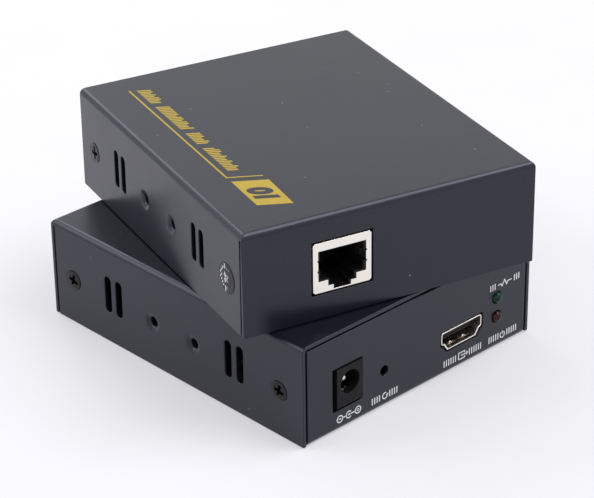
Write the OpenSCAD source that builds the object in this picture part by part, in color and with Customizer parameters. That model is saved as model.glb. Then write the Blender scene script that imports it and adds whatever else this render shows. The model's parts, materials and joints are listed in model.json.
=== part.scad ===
// A pair of metal-cased video extender units, the transmitter stacked on the receiver.
// Lengths are millimetres. The origin is the middle of the receiver's underside, +Z is up
// and the receiver's socket panel faces -Y. Each piece is drawn in its unit's own frame,
// and receiver() or transmitter() puts it in the stack.

/* [Case] */
// Width of a case, from side to side
case_w = 82; // [80:1:96]
// Depth of a case, from the socket panel to the network end
case_d = 96; // [94:1:112]
// Height of a case
case_h = 28.4; // [27:0.2:36]
// Thickness of the sheet steel
sheet = 1.0; // [0.8:0.1:1.2]
// Outer radius of every fold
bend_r = 1.6; // [1.4:0.1:2.4]
// Gap round the socket panel, inside the cover
panel_gap = 0.55; // [0.2:0.05:0.7]
// Gap at the cover's two upright corners
seam_gap = 0.6; // [0.15:0.05:0.8]
// Height of the cover's lower edge above the underside
flange_lift = 0.3; // [0.2:0.05:0.6]

/* [Stack] */
// Turn of the transmitter on top of the receiver, in degrees
stack_turn = 164; // [120:1:240]
// Sideways shift of the transmitter
stack_shift_x = 4.5; // [-12:0.5:12]
// Forward shift of the transmitter
stack_shift_y = -0.3; // [-12:0.1:12]

/* [Side walls] */
// Height of the screws and bracket holes above the underside
side_hole_z = 13.1; // [12:0.1:15]
// Distance of the cover screws from the ends of the case
cover_screw_inset = 8.5; // [8:0.5:10]
// Distance between the two bracket holes of a side
bracket_hole_spacing = 15.6; // [12:0.2:20]
// Diameter of a bracket hole, tapped for a 3 mm screw
bracket_hole_d = 2.5; // [2.1:0.1:3.3]
// Radius of the smooth mouth that is pressed into each bracket hole
dimple_r = 2.5; // [2:0.1:3]
// Depth of that mouth
dimple_depth = 0.7; // [0.4:0.05:0.75]
// Width of a vent slot
slot_w = 2.5; // [1.2:0.1:2.8]
// Length of a vent slot
slot_l = 10.5; // [6:0.5:14]
// Height of the middle of the slots
slot_z = 14.4; // [13.5:0.1:15.5]
// Distance of the inner slot from the middle of the side
slot_y = 21; // [18:0.5:22.5]
// Distance between the two slots of a pair
slot_pitch = 4.3; // [3.9:0.1:4.8]

/* [Cover screws] */
// Diameter of the thread
screw_d = 3; // [2.5:0.1:3.2]
// Diameter of the countersunk head
head_d = 5.6; // [5:0.1:6.2]
// Length of the screw, head and all
screw_l = 5; // [4:0.5:7]

/* [Circuit board] */
// Distance of the board's side edges from the sides of the case
board_side_gap = 3.5; // [3:0.1:4]
// Distance of the board's front and rear edges from the ends of the case
board_end_gap = 2; // [1.8:0.1:3]
// Thickness of the board
board_t = 1.6; // [1:0.1:1.8]
// Height of the standoffs above the floor
standoff_h = 4.2; // [3:0.1:5]
// Outer diameter of a standoff
standoff_d = 5; // [4.4:0.1:5.6]
// Distance of the board's screws from its side edges
board_screw_inset_x = 4; // [3.5:0.1:4.5]
// Distance of the board's screws from its front and rear edges
board_screw_inset_y = 4; // [3.5:0.1:5]
// Diameter of the board's screws
board_screw_d = 2.5; // [2:0.1:2.8]

/* [Power socket] */
// Distance of the socket's axis from the board's left edge
power_inset = 12.1; // [11:0.1:13.5]
// Width of the socket's face
power_w = 9; // [8.6:0.1:9.6]
// Height of the socket's face
power_h = 11; // [10.6:0.1:11.6]
// Distance of the axis below the top of the face
power_crown = 4.7; // [4.2:0.1:5]
// Diameter of the barrel hole
power_bore_d = 6.4; // [5.8:0.1:6.8]
// Diameter of the centre pin
power_pin_d = 2; // [1.6:0.1:2.5]
// Length of the socket
power_l = 14.2; // [13:0.1:15]

/* [Reset switch] */
// Distance of the pinhole from the power socket's axis
reset_spacing = 12.5; // [11.4:0.1:17]
// Diameter of the pinhole
reset_hole_d = 2.8; // [1.6:0.1:3]
// Height of the plunger's axis above the board
reset_axis_h = 3.8; // [3.8:0.1:4.4]
// Diameter of the plunger
plunger_d = 3.4; // [3:0.1:3.8]
// Distance that the plunger moves when it is pressed
press_travel = 0.25; // [0.15:0.05:0.4]
// Width and height of the switch body
switch_w = 6; // [5.8:0.1:6.6]

/* [Video socket] */
// Distance of the socket's middle from the lights
video_spacing = 13.2; // [12.2:0.1:18]
// Width of the socket's metal mouth
video_w = 15; // [14.5:0.1:15.5]
// Height of the metal mouth
video_h = 5.6; // [5.4:0.1:6]
// Thickness of the mouth's metal
video_wall = 0.35; // [0.25:0.05:0.4]
// Length of the socket
video_l = 11; // [10:0.1:12]

/* [Indicator lights] */
// Distance of the two lights from the board's right edge
light_inset = 8.9; // [8.9:0.1:10.5]
// Diameter of a light's lens
light_d = 3.2; // [2.6:0.1:3.2]
// Height of the lower light above the board
low_light_h = 2.6; // [2.6:0.1:3.2]
// Distance between the two lights
light_spacing = 5.6; // [5:0.1:6.2]
// How far the lenses stand out of the panel
light_proud = 1.3; // [0.4:0.1:1.6]

/* [Network socket] */
// Distance of the socket's middle from the board's right edge, seen from the socket panel
network_inset = 23.6; // [21.5:0.1:29.5]
// Width of the socket's shield
network_w = 16.1; // [15.8:0.1:16.6]
// Height of the shield
network_h = 13.7; // [13:0.1:14]
// Length of the shield
network_l = 18.5; // [17:0.1:20]
// Thickness of the shield's metal
network_wall = 0.3; // [0.2:0.05:0.35]

/* [Chips] */
// Width of the main chip
chip_w = 14; // [12:0.5:18]
// Width of the heat sink on it
heat_sink_w = 24; // [20:0.5:26]
// Height of the heat sink
heat_sink_h = 7; // [5:0.5:10]
// Number of fins
fin_count = 8; // [5:1:10]
// Diameter of a smoothing capacitor
capacitor_d = 6.3; // [5:0.1:6.6]
// Height of a smoothing capacitor
capacitor_h = 7.7; // [5:0.1:9]

/* [Hidden] */
$fn = 48;

// Colours
case_colour = "#33343a";
screw_colour = "#1d1d20";
board_colour = "#1f5a3a";
black_plastic = "#18181a";
plated_steel = "#c9c7c1";
gold = "#c9a24a";
tin = "#b9babd";
brass = "#b08d57";
clear_green = "#0f5a3c";
clear_red = "#5a1414";
bare_aluminium = "#a9abae";
pad_blue = "#7d8ea6";
seal_grey = "#5b5c60";

// Shared clearances
overrun = 0.5;       // how far a cut runs past a face
fit_gap = 0.05;      // between a piece and the one that it is fitted in
slide_gap = 0.1;     // between the chassis and the cover
lead_gap = 0.12;     // round a lead in its hole in the board
seat_gap = 0.1;      // round the heads of the cover screws

// Case
half_w = case_w / 2;
half_d = case_d / 2;
floor_half_w = half_w - sheet - slide_gap;
floor_rear_y = half_d - sheet - slide_gap;
panel_half_w = half_w - sheet - panel_gap;
panel_top_z = case_h - sheet - panel_gap;
tab_w = 9;
tab_above_screw = 4.5;
collar_r = 2.4;
collar_l = 1.3;

// Cover screws
shank_r = screw_d / 2;
head_r = head_d / 2;
head_h = head_r - shank_r;
screw_y = half_d - cover_screw_inset;
cross_arm = 3.2;
cross_slot = 0.7;
cross_depth = 1.1;
cross_cone_r = 1.7;

// Board and standoffs
board_w = case_w - 2 * board_side_gap;
board_d = case_d - 2 * board_end_gap;
floor_top_z = sheet;
board_low_z = floor_top_z + standoff_h;
board_top_z = board_low_z + board_t;
board_screw_x = board_w / 2 - board_screw_inset_x;
board_screw_y = board_d / 2 - board_screw_inset_y;
clinch_step = 0.4;   // by which the clinched foot is narrower than the standoff
clinch_r = standoff_d / 2 - clinch_step;
standoff_bore_l = 3.4;
board_screw_l = 4.4;
pan_head_r = 2.3;
pan_head_h = 1.6;
pan_dome_share = 0.45;
lead_out = 1;        // how far leads and pegs stand out below the board

// Power socket
power_x = power_inset - board_w / 2;
power_axis_h = power_h - power_crown;
power_proud = 0.5;
power_gap = 0.2;         // between the socket and its opening, above and on the inner side
power_gap_outer = 1;     // on the side that is nearer to the case's corner
power_gap_low = 0.9;     // below the socket
power_flange_l = 3.3;
power_barrel_wall = 0.8;
power_barrel_r = power_bore_d / 2 + power_barrel_wall;
power_bore_l = 10.6;
power_tip_recess = 1.9;
power_root_r = 1.3;      // of the pin's thicker root, pressed into the body
power_tab_w = 3;
power_tab_t = 0.4;
power_spring_w = 2.6;
power_spring_t = 0.3;
power_spring_front = 2.2;
power_spring_crest = 4.2;
power_spring_tail = 10.2;
power_spring_rise = 0.5;
power_spring_slot_w = 3;
power_spring_slot_l = 11.2;

// Reset switch
reset_x = power_x + reset_spacing;
plunger_setback = 1;
plunger_reach = 1.6;
plunger_flange_r = 2.2;
plunger_flange_t = 0.6;
switch_l = 3.4;
switch_spare = 0.2;
bracket_t = 0.3;
bracket_side_l = 2.6;
bracket_leg_w = 1.2;
bracket_leg_y = 1.2;

// Video socket
light_x = board_w / 2 - light_inset;
video_x = light_x - video_spacing;
video_recess = 0.1;
video_seat = 0.1;
video_opening_gap = 0.45;
video_step_h = 1.9;
video_neck_in = 0.9;     // by which each side draws in to the neck
video_foot_in = 2.2;     // and to the narrower foot
video_neck_w = video_w - 2 * video_neck_in;
video_foot_w = video_w - 2 * video_foot_in;
video_corner_r = 0.8;
video_leg_y = 6;
video_leg_w = 1.6;
video_tongue_in = 1.7;
video_tongue_w = video_w - 2 * video_tongue_in;
video_tongue_t = 1.5;
video_tongue_z = 3.1;
video_tongue_recess = 1.8;
video_block_l = 3;
video_pitch = 1;
video_contact_w = 0.35;
video_contact_t = 0.12;
video_upper_count = 10;
video_lower_count = 9;
video_contact_recess = 2.4;
video_tail_out = 0.5;
video_tail_step = 0.5;
video_spring_w = 1.6;
video_spring_l = 5;
video_spring_t = 0.2;
video_spring_x = 2.4;
video_spring_y = 1.6;
video_dimple_r = 0.4;

// Indicator lights
light_l = 5.3;
light_rim = 0.4;
light_rim_t = 1;
light_hole_gap = 0.15;
light_holder_w = 4.6;
light_holder_t = 3.6;
light_holder_over = 2.2;
lead_t = 0.5;
lead_spread = 1.27;
low_lead_back = 0.8;
high_lead_back = 2.2;

// Network socket
network_x = board_w / 2 - network_inset;
network_recess = 0.1;
network_seat = 0.6;           // from the board to the shield's lower edge
network_opening_gap = 0.45;
network_corner = 0.5;
network_mouth_in = 1.45;      // from the shield's side to the mouth
network_mouth_top = 2.3;      // from the shield's top to the mouth
network_mouth_w = network_w - 2 * network_mouth_in;
network_mouth_low = 3.1;
network_mouth_high = network_h - network_mouth_top;
network_step_w = 7.8;
network_step_low = 1.5;
network_latch_w = 4.8;
network_latch_low = 0.3;
network_cavity_in = 2.1;      // from the shield's side to the cavity
network_cavity_top = 2.7;     // from the shield's top to the cavity
network_cavity_back = 5.5;    // from the cavity's end to the shield's rear
network_cavity_w = network_w - 2 * network_cavity_in;
network_cavity_low = 3.4;
network_cavity_high = network_h - network_cavity_top;
network_cavity_l = network_l - network_cavity_back;
network_cavity_step_w = 6.8;
network_cavity_latch_w = 4;
finger_below = 4.15;          // from the top of the mouth to the middle of a finger
finger_z = network_mouth_high - finger_below;
finger_h = 2.4;
finger_l = 3.6;
finger_t = 0.2;
finger_lean = 0.45;
finger_notch = 0.5;
finger_pocket_w = 0.9;
shield_leg_y = 7;
shield_leg_w = 1.6;
contact_count = 8;
contact_pitch = 1.016;
contact_w = 0.45;
contact_t = 0.3;
contact_behind = 2;           // from the cavity's end to where they come down to the board
contact_over = 1;             // from the cavity up to where they run forward
contact_front_y = 2.4;        // where they turn down into the cavity
contact_turn = 0.2;           // how far they come down before they lean back
contact_end_short = 2.5;      // from their free ends to the cavity's end
contact_end_under = 2.8;      // from the top of the cavity to their free ends
contact_tail_y = network_cavity_l + contact_behind;
contact_run_z = network_seat + network_cavity_high + contact_over;
contact_turn_z = network_seat + network_cavity_high - contact_turn;
contact_end_y = network_cavity_l - contact_end_short;
contact_end_z = network_seat + network_cavity_high - contact_end_under;
contact_slot_h = 0.8;

// Board components
chip_t = 1.2;
chip_x_share = -0.06;
chip_y_share = 0.04;
thermal_pad_t = 0.5;
thermal_pad_share = 0.9;
heat_sink_base = 1.6;
fin_share = 0.42;
// Places of the support chips, as shares of the board's width and depth from its middle
support_chip_shares = [[-0.36, 0.03], [-0.37, 0.2], [0.2, 0.06], [0.2, -0.24], [0.38, 0.1]];
memory_chip = [9, 13, 1.1];
flash_chip = [5.2, 6, 1.6];
network_chip = [8, 8, 1];
video_chip = [9, 9, 1];
crystal_can = [4.6, 11, 3.4];
support_chip_sizes = [memory_chip, flash_chip, network_chip, video_chip, crystal_can];
transformer_size = [12.7, 6.6, 5.6];
transformer_gap = 2.5;
// Places of the two capacitors near the network end, as such shares
capacitor_shares = [[-0.2, 0.38], [-0.09, 0.38]];
capacitor_side = 3.1;         // sideways from the power socket's axis to the pair behind it
capacitor_behind = 5.4;       // from the socket's rear tab back to the first of that pair
capacitor_spacing = 10.1;
capacitor_base_over = 0.3;
capacitor_base_h = 0.8;
capacitor_groove_z = 2;
capacitor_groove = 0.35;
inductor_shares = [[-0.2, -0.25], [-0.04, -0.3]];
inductor_w = 7;
inductor_h = 4.4;
inductor_corner = 1.2;

// Quality seal over the transmitter's rear screw
seal_d = 8;
seal_t = 0.12;

// Shapes

// A flat drawing in x and z, given thickness l along y from y0
module front_plate(y0, l) {
    translate([0, y0 + l, 0]) rotate([90, 0, 0]) linear_extrude(height = l) children();
}

// A flat drawing in y and z, given thickness l along x from x0
module side_plate(x0, l) {
    translate([x0, 0, 0]) rotate([90, 0, 90]) linear_extrude(height = l) children();
}

// A bar along y from y0, with its axis at height z
module bar_y(y0, l, r, z) {
    translate([0, y0 + l, z]) rotate([90, 0, 0]) cylinder(h = l, r = r);
}

// A block standing on at.z, centred on at.x and at.y
module block(size, at) {
    translate([at.x - size.x / 2, at.y - size.y / 2, at.z]) cube(size);
}

// A rectangle from low to high, centred on x = 0
module panel_rect(w, low, high) {
    translate([-w / 2, low]) square([w, high - low]);
}

// The same rectangle with its four corners cut off
module cut_rect(w, low, high, cut) {
    polygon([
        [-w / 2 + cut, low], [w / 2 - cut, low], [w / 2, low + cut], [w / 2, high - cut],
        [w / 2 - cut, high], [-w / 2 + cut, high], [-w / 2, high - cut], [-w / 2, low + cut]
    ]);
}

// A rectangle with four round corners
module round_rect(w, low, high, r) {
    panel_rect(w - 2 * r, low, high);
    panel_rect(w, low + r, high - r);
    for (side = [-1, 1], z = [low + r, high - r])
        translate([side * (w / 2 - r), z]) circle(r = r);
}

// A rectangle with round upper corners, the section of a folded sheet cover
module arch(w, low, high, r) {
    panel_rect(w, low, high - r);
    panel_rect(w - 2 * r, low, high);
    for (side = [-1, 1])
        translate([side * (w / 2 - r), high - r]) circle(r = r);
}

// A block whose upper side edges and upper rear edge are rounded
module folded_block(w, front_y, rear_y, low, high, r) {
    intersection() {
        front_plate(front_y, rear_y - front_y) arch(w, low, high, r);
        side_plate(-w / 2, w)
            translate([rear_y - case_d, 0]) arch(2 * case_d, low, high, r);
    }
}

// Outline of a bent strip of thickness t along a path of points
function unit(v) = v / norm(v);
function left_of(d) = [-d.y, d.x];
function mitre(path, i) =
    let (
        last = len(path) - 1,
        before = max(i, 1),
        after = min(i, last - 1),
        a = left_of(unit(path[before] - path[before - 1])),
        b = left_of(unit(path[after + 1] - path[after])),
        n = unit(a + b)
    ) n / (n * a);
function ribbon(path, t) = concat(
    [for (i = [0:len(path) - 1]) path[i] + mitre(path, i) * t / 2],
    [for (i = [len(path) - 1:-1:0]) path[i] - mitre(path, i) * t / 2]
);

// A strip of width w, bent along a path in y and z
module bent_strip(path, t, w) {
    side_plate(-w / 2, w) polygon(ribbon(path, t));
}

// Places of the two units and of what they hold

module receiver() {
    children();
}

module transmitter() {
    translate([stack_shift_x, stack_shift_y, case_h]) rotate([0, 0, stack_turn]) children();
}

// On each cover screw's axis, with +Z pointing out of the case
module at_cover_screws() {
    for (side = [-1, 1], end = [-1, 1])
        translate([side * half_w, end * screw_y, side_hole_z])
            rotate([0, side * 90, 0]) children();
}

module at_bracket_holes() {
    for (side = [-1, 1], end = [-1, 1])
        translate([side * half_w, end * bracket_hole_spacing / 2, side_hole_z])
            rotate([0, side * 90, 0]) children();
}

module at_board_screws() {
    for (side = [-1, 1], end = [-1, 1])
        translate([side * board_screw_x, end * board_screw_y, 0]) children();
}

// Each socket's frame has its mouth at y = 0, its depth along +Y and the board at z = 0
module at_power_socket() {
    translate([power_x, -half_d - power_proud, board_top_z]) children();
}

module at_reset_switch() {
    translate([reset_x, -half_d + sheet + plunger_setback, board_top_z]) children();
}

module at_video_socket() {
    translate([video_x, -half_d + video_recess, board_top_z]) children();
}

module at_lights() {
    translate([light_x, -half_d - light_proud, board_top_z]) children();
}

module at_network_socket() {
    translate([network_x, half_d - network_recess, board_top_z])
        rotate([0, 0, 180]) children();
}

// Folded case

// The conical seat of one cover screw's head
module screw_seat() {
    translate([0, 0, -head_h])
        cylinder(h = head_h, r1 = shank_r + seat_gap, r2 = head_r + seat_gap);
    cylinder(h = overrun, r = head_r + seat_gap);
}

// The smooth pressed mouth of a bracket hole
module bracket_mouth() {
    reach = bracket_hole_d / 2 + sqrt(pow(dimple_r, 2) - pow(dimple_r - dimple_depth, 2));
    rotate_extrude() difference() {
        translate([0, -dimple_depth]) square([reach, dimple_depth]);
        translate([reach, -dimple_r]) circle(r = dimple_r);
    }
    cylinder(h = overrun, r = reach);
}

module vent_slot_outline() {
    translate([-slot_w / 2, slot_z - slot_l / 2 + slot_w / 2])
        square([slot_w, slot_l - slot_w]);
    for (z = [slot_z - slot_l / 2 + slot_w / 2, slot_z + slot_l / 2 - slot_w / 2])
        translate([0, z]) circle(d = slot_w);
}

module vent_slots() {
    for (end = [-1, 1], n = [0, 1])
        side_plate(-half_w - overrun, case_w + 2 * overrun)
            translate([end * (slot_y + n * slot_pitch), 0]) vent_slot_outline();
}

module corner_seams() {
    for (side = [-1, 1])
        block(
            [2 * sheet, seam_gap, case_h - bend_r],
            [side * half_w, half_d - sheet - seam_gap / 2, 0]
        );
}

module network_opening() {
    translate([network_x, 0, 0])
        front_plate(half_d - sheet - overrun, sheet + 2 * overrun)
            panel_rect(
                network_w + 2 * network_opening_gap,
                board_top_z + network_seat - network_opening_gap,
                board_top_z + network_seat + network_h + network_opening_gap
            );
}

module cover() {
    color(case_colour) difference() {
        union() {
            difference() {
                folded_block(case_w, -half_d, half_d, flange_lift, case_h, bend_r);
                folded_block(
                    case_w - 2 * sheet, -half_d - overrun, half_d - sheet,
                    flange_lift - overrun, case_h - sheet, bend_r - sheet
                );
            }
            at_bracket_holes()
                translate([0, 0, -sheet - collar_l]) cylinder(h = sheet + collar_l, r = collar_r);
        }
        corner_seams();
        vent_slots();
        network_opening();
        at_cover_screws() {
            screw_seat();
            translate([0, 0, -sheet - overrun])
                cylinder(h = sheet + overrun, r = shank_r + seat_gap);
        }
        at_bracket_holes() {
            bracket_mouth();
            translate([0, 0, -sheet - collar_l - overrun])
                cylinder(h = sheet + collar_l + overrun, d = bracket_hole_d);
        }
    }
}

// What lies behind the socket panel and above the floor, with the fold's round corner;
// inset is 0 for the outer faces and the sheet's thickness for the inner ones
module fold_region(inset) {
    translate([-half_d + inset, bend_r]) square([half_d, case_h]);
    translate([-half_d + bend_r, inset]) square([half_d, case_h]);
    translate([-half_d + bend_r, bend_r]) circle(r = bend_r - inset);
}

// Section of the front half of the chassis: the floor, the fold and the socket panel
module chassis_section() {
    intersection() {
        difference() {
            fold_region(0);
            fold_region(sheet);
        }
        translate([-case_d, -overrun]) square([case_d, panel_top_z + overrun]);
    }
}

// A tab that stands at the chassis's side for a cover screw, with its tapped collar
module screw_tab() {
    translate([-sheet - slide_gap, 0, 0]) {
        translate([-sheet, -tab_w / 2, 0]) cube([sheet, tab_w, side_hole_z + tab_above_screw]);
        translate([-sheet - collar_l, 0, side_hole_z])
            rotate([0, 90, 0]) cylinder(h = collar_l + sheet / 2, r = collar_r);
    }
}

module panel_openings() {
    through = sheet + 2 * overrun;
    y0 = -half_d - overrun;
    translate([power_x, 0, board_top_z])
        front_plate(y0, through)
            translate([-power_w / 2 - power_gap_outer, -power_gap_low])
                square([
                    power_w + power_gap_outer + power_gap, power_h + power_gap_low + power_gap
                ]);
    translate([reset_x, 0, 0])
        bar_y(y0, through, reset_hole_d / 2, board_top_z + reset_axis_h);
    translate([video_x, 0, board_top_z + video_seat])
        front_plate(y0, through) video_outline(-video_opening_gap);
    for (h = [low_light_h, low_light_h + light_spacing])
        translate([light_x, 0, 0])
            bar_y(y0, through, light_d / 2 + light_hole_gap, board_top_z + h);
}

module chassis() {
    color(case_colour) difference() {
        union() {
            translate([-floor_half_w, -half_d + bend_r, 0])
                cube([2 * floor_half_w, floor_rear_y + half_d - bend_r, sheet]);
            side_plate(-panel_half_w, 2 * panel_half_w) chassis_section();
            for (side = [0, 180], end = [-1, 1])
                translate([0, end * screw_y, 0])
                    rotate([0, 0, side]) translate([half_w, 0, 0]) screw_tab();
        }
        panel_openings();
        at_cover_screws() {
            screw_seat();
            translate([0, 0, -screw_l]) cylinder(h = screw_l, r = shank_r + fit_gap);
        }
        at_board_screws()
            translate([0, 0, -overrun]) cylinder(h = sheet + 2 * overrun, r = clinch_r + fit_gap);
    }
}

// Fasteners

module cross_recess() {
    intersection() {
        for (turn = [0, 90])
            rotate([0, 0, turn])
                block([cross_arm, cross_slot, cross_depth + overrun], [0, 0, -cross_depth]);
        translate([0, 0, -cross_depth])
            cylinder(h = cross_depth + overrun, r1 = cross_slot / 2, r2 = cross_cone_r + cross_slot);
    }
}

module cover_screws() {
    color(screw_colour) at_cover_screws() difference() {
        union() {
            translate([0, 0, -head_h]) cylinder(h = head_h, r1 = shank_r, r2 = head_r);
            translate([0, 0, -screw_l]) cylinder(h = screw_l - head_h / 2, r = shank_r);
        }
        rotate([0, 0, 45]) cross_recess();
    }
}

module board_standoffs() {
    color(brass) at_board_screws() difference() {
        union() {
            cylinder(h = sheet + standoff_h / 2, r = clinch_r);
            translate([0, 0, floor_top_z]) cylinder(h = standoff_h, d = standoff_d);
        }
        translate([0, 0, board_low_z - standoff_bore_l])
            cylinder(h = standoff_bore_l + overrun, r = board_screw_d / 2 + fit_gap);
    }
}

module board_screws() {
    tip_z = board_top_z - board_screw_l;
    color(tin) at_board_screws() difference() {
        union() {
            translate([0, 0, tip_z])
                cylinder(h = board_screw_l + pan_head_h / 2, d = board_screw_d);
            translate([0, 0, board_top_z])
                cylinder(h = pan_head_h * (1 - pan_dome_share), r = pan_head_r);
            translate([0, 0, board_top_z + pan_head_h * (1 - pan_dome_share)])
                cylinder(
                    h = pan_head_h * pan_dome_share,
                    r1 = pan_head_r, r2 = pan_head_r * (1 - pan_dome_share)
                );
        }
        translate([0, 0, board_top_z + pan_head_h]) cross_recess();
    }
}

// Circuit board

// Holes for what is soldered through the board
module board_cuts() {
    at_network_socket() {
        for (side = [-1, 1])
            lead_hole(
                side * (network_w / 2 - network_wall / 2), shield_leg_y,
                network_wall, shield_leg_w
            );
        for (n = [0:contact_count - 1])
            lead_hole(contact_x(n), contact_tail_y, contact_w, contact_t);
    }
    at_video_socket()
        for (side = [-1, 1])
            lead_hole(
                side * (video_w / 2 - video_wall / 2), video_leg_y, video_wall, video_leg_w
            );
    at_power_socket() {
        lead_hole(0, power_l + power_tab_t / 2, power_tab_w, power_tab_t);
        lead_hole(0, power_spring_tail, power_spring_w, power_spring_t);
    }
    at_reset_switch()
        for (side = [-1, 1])
            lead_hole(
                side * (switch_w / 2 + fit_gap + bracket_t / 2),
                plunger_reach + bracket_leg_y, bracket_t, bracket_leg_w
            );
    at_lights()
        for (side = [-1, 1], back = [low_lead_back, high_lead_back])
            lead_hole(side * lead_spread, lead_y(back), lead_t, lead_t);
}

module lead_hole(x, y, w, l) {
    block(
        [w + 2 * lead_gap, l + 2 * lead_gap, board_t + 2 * overrun],
        [x, y, -board_t - overrun]
    );
}

module circuit_board() {
    color(board_colour) difference() {
        block([board_w, board_d, board_t], [0, 0, board_low_z]);
        board_cuts();
        at_board_screws()
            translate([0, 0, board_low_z - overrun])
                cylinder(h = board_t + 2 * overrun, r = board_screw_d / 2 + lead_gap);
    }
}

// Network socket

module network_mouth() {
    z0 = network_seat;
    notch = finger_notch / 2;
    panel_rect(network_mouth_w, z0 + network_mouth_low, z0 + network_mouth_high);
    panel_rect(network_step_w, z0 + network_step_low, z0 + network_mouth_high);
    panel_rect(network_latch_w, z0 + network_latch_low, z0 + network_mouth_high);
    // the notches that free the two side fingers
    for (z = [finger_z - finger_h / 2 - notch, finger_z + finger_h / 2 + notch])
        translate([0, z0])
            panel_rect(network_mouth_w + finger_notch, z - notch, z + notch);
}

// One side finger, rooted in the shield's face and leaning into the socket
module side_finger() {
    root = network_mouth_w / 2;
    translate([0, 0, network_seat + finger_z - finger_h / 2])
        linear_extrude(height = finger_h)
            polygon([
                [root + finger_t, 0], [root, 0],
                [root - finger_lean, finger_l], [root - finger_lean + finger_t, finger_l],
                [root + finger_t, network_wall]
            ]);
}

module network_jack_shield() {
    color(plated_steel) at_network_socket() {
        difference() {
            front_plate(0, network_l)
                cut_rect(network_w, network_seat, network_seat + network_h, network_corner);
            front_plate(network_wall, network_l - 2 * network_wall)
                cut_rect(
                    network_w - 2 * network_wall, network_seat - network_h,
                    network_seat + network_h - network_wall, network_corner
                );
            front_plate(-overrun, network_wall + 2 * overrun) network_mouth();
        }
        for (side = [0, 1]) mirror([side, 0, 0]) side_finger();
        for (side = [-1, 1])
            block(
                [
                    network_wall, shield_leg_w,
                    board_t + lead_out + network_seat + 2 * network_corner
                ],
                [side * (network_w - network_wall) / 2, shield_leg_y, -board_t - lead_out]
            );
    }
}

module network_cavity() {
    z0 = network_seat;
    panel_rect(network_cavity_w, z0 + network_cavity_low, z0 + network_cavity_high);
    panel_rect(
        network_cavity_step_w, z0 + network_step_low + fit_gap, z0 + network_cavity_high
    );
    panel_rect(
        network_cavity_latch_w, z0 + network_latch_low + fit_gap, z0 + network_cavity_high
    );
}

// The channel that the contacts run in: up at the back, forward over the cavity and down
module contact_channel() {
    w = contact_count * contact_pitch;
    half = contact_slot_h / 2;
    block(
        [w, contact_slot_h, contact_run_z + half + overrun],
        [0, contact_tail_y, -overrun]
    );
    block(
        [w, contact_tail_y - contact_front_y + contact_slot_h, contact_slot_h],
        [0, (contact_tail_y + contact_front_y) / 2, contact_run_z - half]
    );
    block(
        [w, contact_slot_h, contact_run_z - network_cavity_high + half],
        [0, contact_front_y, network_cavity_high]
    );
}

module network_jack_housing() {
    skin = network_wall + fit_gap;
    color(black_plastic) at_network_socket() difference() {
        front_plate(skin, network_l - 2 * skin)
            cut_rect(
                network_w - 2 * skin, 0, network_seat + network_h - skin, network_corner
            );
        front_plate(0, network_cavity_l) network_cavity();
        // pockets for the shield's side fingers
        for (side = [-1, 1])
            block(
                [
                    2 * finger_pocket_w, finger_l + finger_t + skin,
                    finger_h + 2 * finger_t
                ],
                [
                    side * network_mouth_w / 2, (finger_l + finger_t + skin) / 2,
                    network_seat + finger_z - finger_h / 2 - finger_t
                ]
            );
        contact_channel();
    }
}

function contact_x(n) = (n - (contact_count - 1) / 2) * contact_pitch;

module network_jack_contacts() {
    path = [
        [contact_tail_y, -board_t - lead_out], [contact_tail_y, contact_run_z],
        [contact_front_y, contact_run_z], [contact_front_y, contact_turn_z],
        [contact_end_y, contact_end_z]
    ];
    color(gold) at_network_socket()
        for (n = [0:contact_count - 1])
            translate([contact_x(n), 0, 0]) bent_strip(path, contact_t, contact_w);
}

// Video socket

// Outline of the socket, drawn in by inset on every side
module video_outline(inset) {
    round_rect(
        video_w - 2 * inset, video_step_h + inset, video_h - inset,
        video_corner_r - inset * (inset > 0 ? 1 : 0)
    );
    polygon([
        [-video_foot_w / 2 + inset, inset], [video_foot_w / 2 - inset, inset],
        [video_neck_w / 2 - inset, video_step_h + inset],
        [video_neck_w / 2 - inset, video_h / 2], [-video_neck_w / 2 + inset, video_h / 2],
        [-video_neck_w / 2 + inset, video_step_h + inset]
    ]);
}

// A grounding spring on the mouth's inner face, with its contact bump
module video_spring() {
    block([video_spring_w, video_spring_l, video_spring_t], [0, video_spring_l / 2, 0]);
    translate([0, video_dimple_r, video_spring_t]) sphere(r = video_dimple_r);
}

module video_socket_shell() {
    color(plated_steel) at_video_socket() translate([0, 0, video_seat]) {
        difference() {
            front_plate(0, video_l) video_outline(0);
            front_plate(-overrun, video_l + 2 * overrun) video_outline(video_wall);
        }
        for (side = [-1, 1]) {
            translate([side * video_spring_x, video_spring_y, video_wall - video_spring_t / 2])
                video_spring();
            block(
                [video_wall, video_leg_w, board_t + lead_out + video_seat + video_h / 2],
                [side * (video_w - video_wall) / 2, video_leg_y, -board_t - lead_out - video_seat]
            );
        }
    }
}

module video_socket_tongue() {
    z0 = video_seat;
    skin = video_wall + fit_gap;
    block_y = video_l - video_block_l;
    slot = [
        video_upper_count * video_pitch, video_block_l + 2 * overrun,
        video_contact_t + 2 * fit_gap
    ];
    color(black_plastic) at_video_socket() difference() {
        union() {
            translate([0, 0, z0]) front_plate(block_y, video_block_l) video_outline(skin);
            block(
                [video_tongue_w, video_l - video_tongue_recess, video_tongue_t],
                [0, (video_l + video_tongue_recess) / 2, z0 + video_tongue_z - video_tongue_t / 2]
            );
        }
        // the thin slots that the two rows of contacts pass through
        for (level = [video_upper_level() - fit_gap, video_lower_level() - fit_gap])
            block(slot, [0, block_y + video_block_l / 2, z0 + level]);
    }
}

function video_upper_level() = video_tongue_z + video_tongue_t / 2;
function video_lower_level() = video_tongue_z - video_tongue_t / 2 - video_contact_t;

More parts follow.
